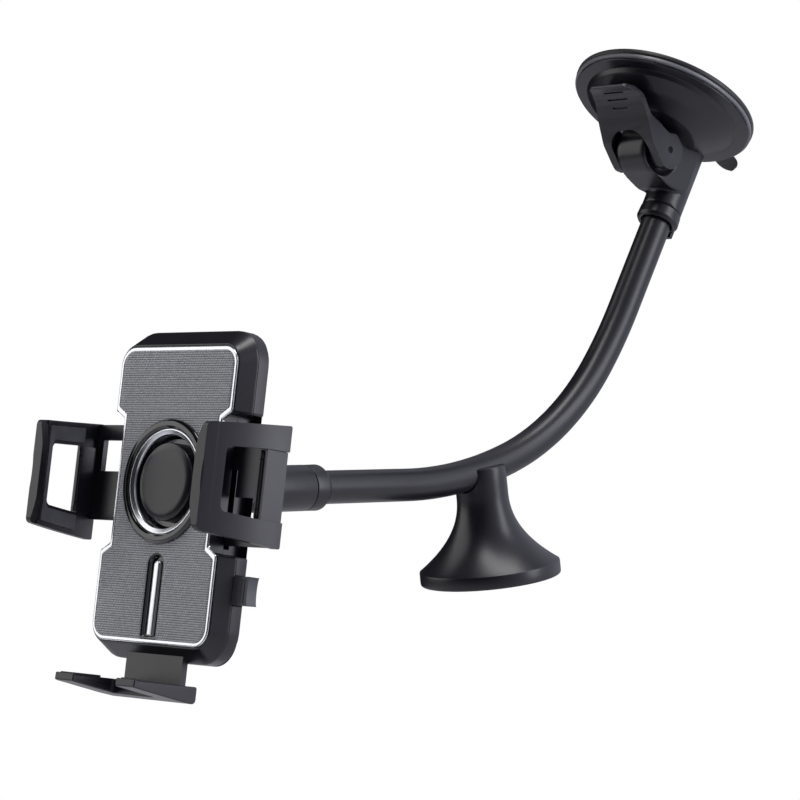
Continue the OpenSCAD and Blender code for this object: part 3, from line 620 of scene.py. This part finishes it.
def build_gooseneck():
    """Sleeve in two lengths that meet where the dashboard foot clips on."""
    line = route()
    seam = min(range(len(line)),
               key=lambda i: abs(line[i][0] * MM - saddle.y) + abs(line[i][1] * MM - saddle.z))

    def along(joint, distance):
        """Point on the route at that distance up or down the tube from a joint."""
        i = min(range(len(line)),
                key=lambda k: (Vector((0, line[k][0], line[k][1])) * MM - joint).length)
        i += round(-distance / STEP)
        return (0, line[i][0] * MM, line[i][1] * MM)

    upper = sweep_tube("sleeve_upper_skin", line[:seam + 1], TUBE_R)
    smooth(upper, 60)
    finished(upper, None, ["sleeve_upper", "flex_upper", "sleeve_middle"], SLEEVE)
    along(bend_joint, 40)
    along(bend_joint, -40)
    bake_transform(upper)
    lower = sweep_tube("sleeve_lower_skin", line[seam:], TUBE_R)
    smooth(lower, 60)
    finished(lower, None, ["sleeve_lower", "flex_lower"], SLEEVE)
    along(sweep_joint, 24)
    along(sweep_joint, -24)
    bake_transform(lower)


def build_ferrule():
    """Ferrule at the end of the sleeve, and its end ring."""
    main = fillet([(4.2, 14.3, 0), (6.4, 13.9, 0.4), (8.8, 16.8, 1.2), (8.8, 43.1, 0.35), (4.2, 43.1, 0)])
    finished(smooth(lathe("ferrule_barrel", main, BALL, axis="Y"), 50), "arm_lower", ["ferrule"],
             SATIN)
    ring = fillet([(6.5, 43.3, 0), (8.75, 43.3, 0.35), (8.85, 49.4, 1.0), (7.9, 50.9, 0.5), (6.5, 50.9, 0.3)])
    finished(smooth(lathe("ferrule_end_ring", ring, BALL, axis="Y"), 50), "arm_lower", ["ferrule_ring"],
             SATIN)


def build_nut():
    """Ring nut with soft scallops round its edge."""
    ribs, nut_r, scallop = 12, 16.5, 0.85
    angles = around(ribs * 12)

    def loop(y, inset):
        pts = []
        for t in angles:
            r = nut_r - inset - scallop * max(0.0, -math.cos(ribs * t)) ** 1.5
            pts.append((r * math.cos(t), y, r * math.sin(t)))
        return pts

    def circle(y, r):
        return [(r * math.cos(t), y, r * math.sin(t)) for t in angles]

    sections = [circle(17.5, 12.6), circle(17.5, 15), loop(17.5, 0.9), loop(17.9, 0.3), loop(18.6, 0),
                loop(28.8, 0), loop(30.2, 0.5), loop(30.9, 1.6), circle(31, 13), circle(31, 9.9),
                circle(30.6, 9.5), circle(29.3, 9.5), circle(29.3, 12.6)]
    nut = loft("ring_nut_knurled", sections, CRADLE, closed=True)
    finished(smooth(nut, 45), "nut", ["ring_nut"], SATIN)


# ---------------------------------------------------------------- dashboard foot
def build_dash_foot():
    """Bell-shaped foot with a groove for the tube, and its base pad."""
    base_r, band, neck_r, top = 28.5, 5.7, 10.5, 46.0
    flare_top, steps = 34, 32
    outer = [(0, 1.6), (26.9, 1.6), (26.9, 0.2), (27.2, 0), (28.1, 0), (28.4, 0.3), (base_r, 0.9),
             (base_r, band - 0.9), (28.35, band - 0.35)]
    for k in range(steps + 1):
        h = band + (flare_top - band) * k / steps
        u = (flare_top - h) / (flare_top - band)
        outer.append((neck_r + (base_r - 0.7 - neck_r) * u ** 2.2, h))
    outer += [(neck_r, 40), (neck_r, top - 1.2), (neck_r - 0.35, top - 0.35), (neck_r - 1.2, top), (0, top)]
    bell = lathe("dash_foot_bell", outer, FOOT, segments=128)
    slope = math.radians(13.2)                       # of the tube where the foot clips on
    tangent = Vector((0, math.cos(slope), math.sin(slope)))
    groove_at = axes_at(saddle, RIGHT, tangent, RIGHT.cross(tangent))
    groove_r = TUBE_R + 0.3
    groove = lathe("groove", [(0, -30), (groove_r, -30), (groove_r, 30), (0, 30)], groove_at,
                   axis="Y", segments=96)
    boolean(bell, groove)
    bevel(bell, 0.5, 3, 42)
    smooth(bell, 50)
    finished(bell, "dash_foot", ["dash_foot"], SATIN)
    pad = fillet([(0, 0.05, 0), (26.7, 0.05, 0.4), (26.7, 1.5, 0.3), (0, 1.5, 0)])
    finished(smooth(lathe("dash_foot_pad", pad, FOOT)), "dash_foot", ["dash_pad"], RUBBER)


# ---------------------------------------------------------------- cradle body
HALF_W, TOP, BOTTOM, CORNER = 35.0, 56.3, -64.8, 12.5
POCKET, WAIST, BODY_T = 25.5, 27.1, 17.0
SHOULDER, BACK_HW = 12.0, 28.5
SCREW_X, SCREW_Z, SCREW_R = 25, (44, -54), 2.8
DISH_R = 22.2                                        # radius of the pad's opening round the dish
FACE_HW, FACE_TOP, FACE_BOTTOM, FACE_R = 32.1, 49.6, -59.0, 6.8


def body_outline(side, top=TOP, bottom=BOTTOM, corner=CORNER, waist=WAIST):
    """Body outline with the two side pockets; every version has the same number of points."""
    w = min(waist, side - 0.5)
    half = [(side, top, corner), (side, POCKET, 0.9), (w, POCKET, 1.2), (w, -POCKET, 1.2),
            (side, -POCKET, 0.9), (side, bottom, corner)]
    return fillet(both_sides(half), 8)


def bevelled(amount):
    """Body outline on the sloping front bevel: 0 at its front edge, 1 at the full size."""
    left = 1 - amount
    return body_outline(HALF_W - 2.4 * left, TOP - 6 * left, BOTTOM + 5.4 * left, CORNER - 5.1 * left,
                        WAIST - 0.5 * max(0.0, left - 0.95))


def back_half(y):
    """Half width of the body where its sides slope in towards the back."""
    return HALF_W - (HALF_W - BACK_HW) * max(0.0, y - SHOULDER) / (BODY_T - SHOULDER)


def ring_section(outline, y):
    """Outline in X-Z as a loop of points at depth y."""
    return [(x, y, z) for x, z in outline]


def build_covers():
    """Front cover with its bevel, and back cover with a back plate, screw holes and ball socket."""
    steps = [(-0.06, 0.35), (-0.03, 0.06), (0.03, 0.0), (0.09, 0.25), (0.92, 6.05), (0.97, 6.5),
             (1.0, 6.85), (0.985, 7.0)]
    front = loft("front_cover_shell", [ring_section(bevelled(f), y) for f, y in steps], CRADLE)
    boolean(front, lathe("bowl", [(0, -3), (21, -3), (21, 5.6), (0, 5.6)], CRADLE, axis="Y", segments=96))
    boolean(front, slab("channel", slot_outline(4.8, -57.4), -2, 2.2, CRADLE))
    stem = [(-15.8, -70), (15.8, -70), (15.8, -58), (-15.8, -58)]
    boolean(front, slab("stem_slot", stem, 3.6, 6.6, CRADLE))
    finished(soften(front, 0.25, 2, 35), "cradle", ["front_cover"], BODY)

    steps = [(34.8, 7.02), (35, 7.2), (35, 11.7), (34.85, 12.1)]
    steps += [(back_half(y), y) for y in (12.6, 13.8, 15.0)]
    back = loft("back_cover_shell", [ring_section(body_outline(s), y) for s, y in steps], CRADLE)
    rim = []
    for inset, y in ((0, 15.0), (0, 15.7), (0.2, 16.4), (0.6, 16.8), (1.3, 17.0)):
        x, r = back_half(y) - inset * 0.5, CORNER - 2 - inset
        corners = [(x, TOP - inset, r), (x, BOTTOM + inset, r), (-x, BOTTOM + inset, r), (-x, TOP - inset, r)]
        rim.append(ring_section(fillet(corners, 12), y))
    plate = loft("back_plate", rim, CRADLE)
    panel = fillet([(24, 40, 6), (24, -50, 6), (-24, -50, 6), (-24, 40, 6)], 8)
    boolean(plate, slab("panel", panel, 16.4, 20, CRADLE))
    for x in (-SCREW_X, SCREW_X):
        for z in SCREW_Z:
            hole = lathe("screw_hole", [(0, 15.2), (SCREW_R, 15.2), (SCREW_R, 20), (0, 20)],
                         CRADLE @ Matrix.Translation((x, 0, z)), axis="Y", segments=32)
            boolean(plate, hole)
    boss = lathe("boss", fillet([(9.7, 15.6, 0), (15.6, 15.6, 0), (15.2, 16.9, 1), (12.6, 17.2, 0.5),
                                 (12.4, 28.9, 0.4), (9.7, 28.9, 0)]), CRADLE, axis="Y")
    key_room = [(26, -42.9), (40, -42.9), (40, -31.9), (26, -31.9)]
    boolean(back, slab("button_slot", key_room, 6, 11.8, CRADLE))
    for s in (-1, 1):
        rails = [(s * 20, -23), (s * 40, -23), (s * 40, 23), (s * 20, 23)]
        boolean(back, slab("rail_slot", rails, 6.5, 9.6, CRADLE))
    join(back, plate, boss)
    finished(soften(back, 0.25, 2, 35), "cradle", ["back_cover"], BODY)


SLOT_TOP, SLOT_BOTTOM = -30.6, -57.3                 # centre of the groove's round end, and its foot


def slot_outline(half, bottom, r=0.8):
    """Groove outline with a full round top end, in X-Z."""
    arc = [(half * math.cos(t), SLOT_TOP + half * math.sin(t))
           for t in [math.pi * k / 24 for k in range(25)]]
    foot = [(-half, bottom + r), (-half + 0.3 * r, bottom + 0.3 * r), (-half + r, bottom),
            (half - r, bottom), (half - 0.3 * r, bottom + 0.3 * r), (half, bottom + r)]
    return arc + foot


def face_outline(inset):
    """Trim outline: rounded frame with a narrower waist."""
    w, n = FACE_HW - inset, WAIST - inset
    half = [(w, FACE_TOP - inset, FACE_R - inset), (w, 26 + inset, 1.2), (n, 23 + inset, 1.2),
            (n, -23 - inset, 1.2), (w, -26 - inset, 1.2), (w, FACE_BOTTOM + inset, FACE_R - inset)]
    return fillet(both_sides(half), 8)


def build_trim():
    """Bright frame round the pad."""
    profile = [(0, 0.6), (0.02, -0.3), (0.1, -0.48), (0.3, -0.6), (1.3, -0.6), (1.5, -0.48),
               (1.58, -0.3), (1.6, 0.6)]
    sections = [ring_section(face_outline(inset), y) for inset, y in profile]
    trim = loft("trim_frame_bright", sections, CRADLE, closed=True)
    finished(smooth(trim, 50), "cradle", ["trim_frame"], CHROME)


def pad_width(h):
    """Half width of the pad inside the trim at height h."""
    w = FACE_HW - 1.5
    n = WAIST - 1.5
    edge = abs(h)
    if edge < 24.2:
        return n
    if edge < 27.2:
        return n + (w - n) * (edge - 24.2) / 3
    top, r = (FACE_TOP if h > 0 else -FACE_BOTTOM) - 1.5, FACE_R - 1.5
    over = edge - (top - r)
    return w - (r - math.sqrt(max(0.0, r * r - over * over)) if over > 0 else 0)


def pad_inner(h):
    """Half width that the dish and the groove take from the pad at height h."""
    dish = math.sqrt(max(0.0, DISH_R ** 2 - h * h))
    over = max(0.0, h - SLOT_TOP)
    return max(dish, math.sqrt(max(0.0, 4.5 ** 2 - over * over)) if h < 0 else 0.0)


def build_pad():
    """Ribbed woven pad: the ribs are real geometry, the threads are the material's."""
    samples, columns = 6, 22
    bottom, top = FACE_BOTTOM + 1.55, FACE_TOP - 1.55
    rows = int((top - bottom) / PITCH * samples)
    verts, faces, uvs = [], [], []
    for s in (-1, 1):
        first = len(verts)
        for k in range(rows + 1):
            h = bottom + (top - bottom) * k / rows
            rib = 0.5 + 0.5 * math.cos(2 * math.pi * h / PITCH)
            x0, x1 = pad_inner(h), pad_width(h)
            for c in range(columns + 1):
                x = x0 + (x1 - x0) * c / columns
                verts.append((s * x, -0.12 - 0.2 * rib ** 0.7, h))
                uvs.append((s * x, h))
        for k in range(rows):
            for c in range(columns):
                a = first + k * (columns + 1) + c
                b = a + columns + 1
                faces.append((a, a + 1, b + 1, b) if s < 0 else (a, b, b + 1, a + 1))
    mesh = bpy.data.meshes.new("woven_pad")
    mesh.from_pydata([CRADLE @ Vector(v) for v in verts], [], faces)
    layer = mesh.uv_layers.new(name="UVMap")
    for loop in mesh.loops:
        u, v = uvs[loop.vertex_index]
        layer.data[loop.index].uv = (u, v + PITCH / 2)
    bm = bmesh.new()
    bm.from_mesh(mesh)
    bmesh.ops.remove_doubles(bm, verts=bm.verts, dist=1e-6)
    bm.to_mesh(mesh)
    bm.free()
    mesh.shade_smooth()
    pad = bpy.data.objects.new("woven_pad", mesh)
    bpy.context.scene.collection.objects.link(pad)
    thick = pad.modifiers.new("backing", "SOLIDIFY")
    thick.thickness = 0.3 * MM
    thick.offset = -1
    finished(pad, "cradle", ["face_pad"], WOVEN)


def build_dish():
    """Raised ring with its bowl, the bright ring in it and the centre cap."""
    lip = fillet([(0, 4.2, 0), (16.2, 4.2, 0.6), (19.35, 0.6, 0.5), (19.5, -1.5, 0.5), (20.3, -2.15, 0.6),
                  (21.8, -2.15, 0.7), (22.9, -1.2, 0.8), (23, 0.4, 0), (20, 0.6, 0), (19.6, 3.6, 0),
                  (17, 5.2, 0), (0, 5.2, 0)])
    finished(smooth(lathe("dish_bowl", lip, CRADLE, axis="Y", segments=160), 50), "cradle", ["dish_ring"],
             GLOSS)
    bright = fillet([(17.0, 0.3, 0.2), (17.4, -0.5, 0.4), (18.9, -1.2, 0.5), (19.3, -1.1, 0.15),
                     (19.3, 0.6, 0), (17, 2.9, 0)])
    finished(smooth(lathe("dish_bright_ring", bright, CRADLE, axis="Y", segments=160), 50), "cradle",
             ["chrome_ring"], CHROME)
    cap = fillet([(0, -1.5, 0), (12.2, -1.35, 6), (14.3, -0.5, 0.9), (14.4, 3.9, 0), (0, 3.9, 0)], 10)
    finished(smooth(lathe("dish_centre_cap", cap, CRADLE, axis="Y", segments=160), 50), "cradle",
             ["centre_cap"], CAP)


def build_groove():
    """Sunk channel with raised edges, and the bright strip in it."""
    rings = [(4.75, 0, 1.6), (4.75, 0, -0.35), (4.6, 0.1, -0.6), (4.1, 0.5, -0.6), (3.75, 0.8, -0.2),
             (3.5, 1, 1.1), (3.4, 1.1, 1.3)]
    channel = loft("groove_channel_black",
                   [ring_section(slot_outline(half, SLOT_BOTTOM + up), y) for half, up, y in rings], CRADLE)
    finished(smooth(channel, 50), "cradle", ["groove_channel"], GLOSS)
    rings = [(1.85, 1.2, 1.25), (1.85, 1.2, 0.3), (1.5, 1.3, -0.05), (0.8, 1.5, -0.2)]
    bright = loft("groove_strip_bright",
                  [ring_section(slot_outline(half, SLOT_BOTTOM + up, 0.3), y) for half, up, y in rings], CRADLE)
    finished(smooth(bright, 60), "cradle", ["groove_strip"], STRIP)


# ---------------------------------------------------------------- side grips
FRONT, REAR = -24.9, 9.4
OUT, BOW, WALL = 54.0, 95.0, 3.6
LIP_X, LIP_NARROWS = 42.1, 3.6                       # lip's inner edge, and how far its ends draw back


def grip_x(y, sunk=0.0):
    """Bowed face of a grip at depth y, that far below its outer face."""
    return OUT - BOW + math.sqrt((BOW - sunk) ** 2 - (REAR - y) ** 2)


def grip_side(inset):
    """Side outline of a grip in Y-Z, taller at the back."""
    half = [(REAR + 0.01 - 0.2 * inset, 22 - inset, 0.8), (FRONT + 4, 19.4 - inset, 30),
            (FRONT + inset, 19 - inset, 4.6 - inset)]
    return fillet(top_and_bottom(half), 8)


def window_side(grow):
    """Side outline of a grip's window, open towards the back."""
    front = FRONT + 7.8 - grow
    half = [(REAR + 6, 12.6 + grow, 0), (-0.2, 12.6 + grow, 6), (front, 11.4 + grow, 2.2)]
    return fillet(top_and_bottom(half), 8)


def build_grip(which):
    """Bowed shell with a window, its inner frame, and the bead on the slide's end post."""
    at, body = GRIP[which], "grip_" + which
    ys = [FRONT + (REAR - FRONT) * k / 28 for k in range(29)]
    plan = [(grip_x(y), y) for y in ys] + [(grip_x(y, WALL), y) for y in reversed(ys) if y > FRONT + 4]
    plan += [(grip_x(FRONT + 3.4, WALL), FRONT + 3.4), (grip_x(FRONT + 3, WALL) - 1, FRONT + 2.9),
             (42.5, FRONT + 2.6), (42.05, FRONT + 2.0), (LIP_X, FRONT + 0.7), (42.8, FRONT)]
    shell = upright("grip_shell_" + which, plan, -25, 25, at)
    boolean(shell, through("side", grip_side(0), 30, 60, at), "INTERSECT")
    boolean(shell, through("window", window_side(0), 30, 60, at))
    # the lip narrows towards its ends
    edge = [(LIP_X + LIP_NARROWS * abs(t) ** 2.4, 19.2 * t) for t in [k / 16 for k in range(-16, 17)]]
    crescent = [(30, -30)] + edge + [(30, 30)]
    boolean(shell, slab("crescent", crescent, FRONT - 5, FRONT + 3.3, at))
    # lens-shaped chamfer along the front outer corner
    corner = grip_x(FRONT)
    facets = [(-14 + 28 * k / 16, max(0.02, 1 - (k / 8 - 1) ** 2)) for k in range(17)]
    lens = [[(corner + 1.2, FRONT - 1, z), (corner + 1.2, FRONT + 2.2 * w - 0.6, z),
             (corner + 0.5 - 1.9 * w, FRONT - 1, z)] for z, w in facets]
    boolean(shell, loft("lens", lens, at))
    finished(soften(shell, 0.35, 3, 32), body, ["grip_frame_" + which], SATIN)

    # inner frame round the window
    ys = [FRONT + 4.4 + (24.3 - 4.4) * k / 16 for k in range(17)]
    plan = [(grip_x(y, WALL - 0.1), y) for y in ys] + [(grip_x(y, WALL + 1.2), y) for y in reversed(ys)]
    frame_in = upright("grip_inner_frame_" + which, plan, -25, 25, at)
    boolean(frame_in, through("side", grip_side(2.0), 30, 60, at), "INTERSECT")
    boolean(frame_in, through("window", window_side(1.2), 30, 60, at))
    finished(soften(frame_in, 0.22, 2, 32), body, ["grip_liner_" + which], LINER)

    # round bead along the end post's front edge, with a shoulder at each end
    bead = [[(50.4 + r * math.cos(t), -0.35 + r * math.sin(t), z)
             for t in around(20)]
            for z, r in ((-12.2, 0.5), (-11.9, 0.85), (-9, 0.9), (-8.8, 0.6), (-8.6, 0.9), (8.6, 0.9),
                         (8.8, 0.6), (9, 0.9), (11.9, 0.85), (12.2, 0.5))]
    bead = loft("grip_post_bead_" + which, bead, at)
    finished(smooth(bead, 50), body, None, SATIN)


# ---------------------------------------------------------------- bottom foot and button
def build_fork():
    """Two prongs that carry the phone, with a pad on each."""
    top, back, tip = -72.8, 6.4, -23.0
    side = fillet([(back, top, 0.8), (back, top - 6.4, 1.6), (-2, top - 5.5, 20), (tip + 1, top - 2.7, 2),
                   (tip - 0.2, top - 2.4, 0.6), (tip, top + 0.6, 0.5), (tip + 1.6, top, 0.8)], 6)
    fork = across("fork_prongs", side, 22.2, CRADLE)
    gap = fillet([(-11.8, tip - 4, 0), (11.8, tip - 4, 0), (11.8, -3.6, 2), (-11.8, -3.6, 2)], 6)
    boolean(fork, upright("gap", gap, top - 12, top + 6, CRADLE))
    soften(fork, 0.45, 3, 35)
    finished(fork, "bottom_foot", ["foot_fork"], SATIN)
    pads = []
    for s in (-1, 1):
        plan = fillet([(s * 12.9, tip + 0.9, 1), (s * 21.1, tip + 0.9, 1), (s * 21.1, tip + 14, 1),
                       (s * 12.9, tip + 14, 1)], 5)
        pads.append(upright("fork_pad", plan, top - 0.3, top + 0.75, CRADLE))
    pads[0].name = "fork_tip_pads"
    join(pads[0], pads[1])
    finished(soften(pads[0], 0.3, 3, 40), "bottom_foot", ["fork_pads"], RUBBER)


def build_button():
    """Key with a hollow end face and two notches."""
    inner, out, half, hollow, height = 30, 43.2, 5.15, 0.75, -37.4
    dip = [(out - hollow * math.cos(math.radians(a)), half * math.sin(math.radians(a)))
           for a in range(75, -76, -10)]
    outline = [(out, half)] + dip + [(out, -half), (inner, -half), (inner, half)]
    key = slab("release_button_key", [(x, z + height) for x, z in outline], 6.6, 11.4, CRADLE)
    for x in (39.4, 41.0):
        boolean(key, bar("notch", (x - 0.25, 6.0, -41.6), (x + 0.25, 6.85, -33.2), CRADLE))
    finished(soften(key, 0.35, 3, 30), "button", ["release_button"], GRAPHITE)


# ---------------------------------------------------------------- carried-over CAD nodes
def dress(name, material, edge=0.0):
    """Gives a CAD node that stays visible its material, and rounds its edges if asked."""
    obj = nodes[name]
    obj.data.materials.clear()
    obj.data.materials.append(material)
    if edge:
        bevel(obj, edge, 2, 40)


# ---------------------------------------------------------------- studio
def area_light(name, at, aim, size, power, colour=(1, 1, 1)):
    """Rectangular lamp at a place, turned towards its aim."""
    data = bpy.data.lights.new(name, "AREA")
    data.shape = "RECTANGLE"
    data.size, data.size_y = size
    data.energy = power
    data.color = colour
    obj = bpy.data.objects.new(name, data)
    obj.location = at
    obj.rotation_euler = (Vector(aim) - Vector(at)).to_track_quat("-Z", "Y").to_euler()
    bpy.context.scene.collection.objects.link(obj)
    return obj


def build_studio():
    """Pale round floor, three lamps, and a world that is white only to the camera."""
    middle = (cad_box[0] + cad_box[1]) / 2
    floor_r, floor_z = 1.0, -0.45
    ring = [(floor_r * math.cos(t), floor_r * math.sin(t)) for t in around(96)]
    floor = upright("studio_floor", [(x, y + middle.y) for x, y in ring], floor_z - 0.01, floor_z,
                    Matrix.Identity(4))
    pale, tree, s = shader("pale_floor", (0.86, 0.86, 0.87), 0.7)
    tint(tree, noise(tree, 6, 2), (0.84, 0.84, 0.85), (0.88, 0.88, 0.89), s.inputs["Base Color"])
    floor.data.materials.append(pale)

    area_light("key_right", (0.85, 0.3, 0.2), (0, -0.2, -0.12), (0.35, 1.0), 4.0, (0.93, 0.94, 1))
    area_light("front_left", (-0.85, -0.85, 0.3), (0, -0.25, -0.1), (1.0, 1.3), 5.5, (1, 1, 1))
    area_light("top", (0.1, -0.2, 0.9), (0, -0.2, -0.1), (0.9, 0.3), 4.5)

    world = bpy.data.worlds.new("studio")
    bpy.context.scene.world = world
    world.use_nodes = True
    tree = world.node_tree
    out = tree.nodes["World Output"]
    seen = tree.nodes["Background"]
    seen.inputs["Color"].default_value = (1, 1, 1, 1)
    seen.inputs["Strength"].default_value = 1.0
    dim = node(tree, "ShaderNodeBackground")
    where = node(tree, "ShaderNodeTexCoord")
    facing = node(tree, "ShaderNodeVectorMath", operation="DOT_PRODUCT")
    facing.inputs[1].default_value = (0.62, 0.72, 0.3)
    tree.links.new(where.outputs["Generated"], facing.inputs[0])
    ramp = node(tree, "ShaderNodeValToRGB")
    ramp.color_ramp.elements[0].position = 0.45
    ramp.color_ramp.elements[0].color = (0.012, 0.012, 0.015, 1)
    ramp.color_ramp.elements[1].position = 1.0
    ramp.color_ramp.elements[1].color = (0.7, 0.7, 0.82, 1)
    half = node(tree, "ShaderNodeMath", operation="MULTIPLY_ADD")
    half.inputs[1].default_value = 0.5
    half.inputs[2].default_value = 0.5
    tree.links.new(facing.outputs["Value"], half.inputs[0])
    tree.links.new(half.outputs[0], ramp.inputs["Fac"])
    tree.links.new(ramp.outputs["Color"], dim.inputs["Color"])
    path = node(tree, "ShaderNodeLightPath")
    mix = node(tree, "ShaderNodeMixShader")
    tree.links.new(path.outputs["Is Camera Ray"], mix.inputs["Fac"])
    tree.links.new(dim.outputs["Background"], mix.inputs[1])
    tree.links.new(seen.outputs["Background"], mix.inputs[2])
    tree.links.new(mix.outputs["Shader"], out.inputs["Surface"])
    bpy.context.scene.view_settings.view_transform = "Standard"


def build_camera():
    """Level camera with a long lens, 45 degrees round from the front towards positive X."""
    data = bpy.data.cameras.new("photo_view")
    data.lens = 134.6
    data.sensor_width = 36
    data.clip_end = 20
    cam = bpy.data.objects.new("photo_view", data)
    cam.location = (0.8285, -0.9898, -0.128)
    cam.rotation_euler = (math.radians(90), 0, math.radians(45))
    bpy.context.scene.collection.objects.link(cam)
    bpy.context.scene.camera = cam


build_camera()
build_studio()
build_cup()
build_neck()
build_lever()
build_gooseneck()
build_ferrule()
build_nut()
build_dash_foot()
build_covers()
build_trim()
build_pad()
build_dish()
build_groove()
build_grip("right")
build_grip("left")
build_fork()
build_button()
for name in ("draw_stem", "stem_spring", "pivot_pin", "core_upper", "core_middle", "core_lower",
             "button_spring", "latch_pawl", "cover_screws"):
    dress(name, STEEL)
for name in ("ball_stud", "ball_collet", "pinion", "ball_seat"):
    dress(name, GRAPHITE)
for name in ("slide_left", "slide_right", "foot_stem"):
    dress(name, BODY, 0.35)
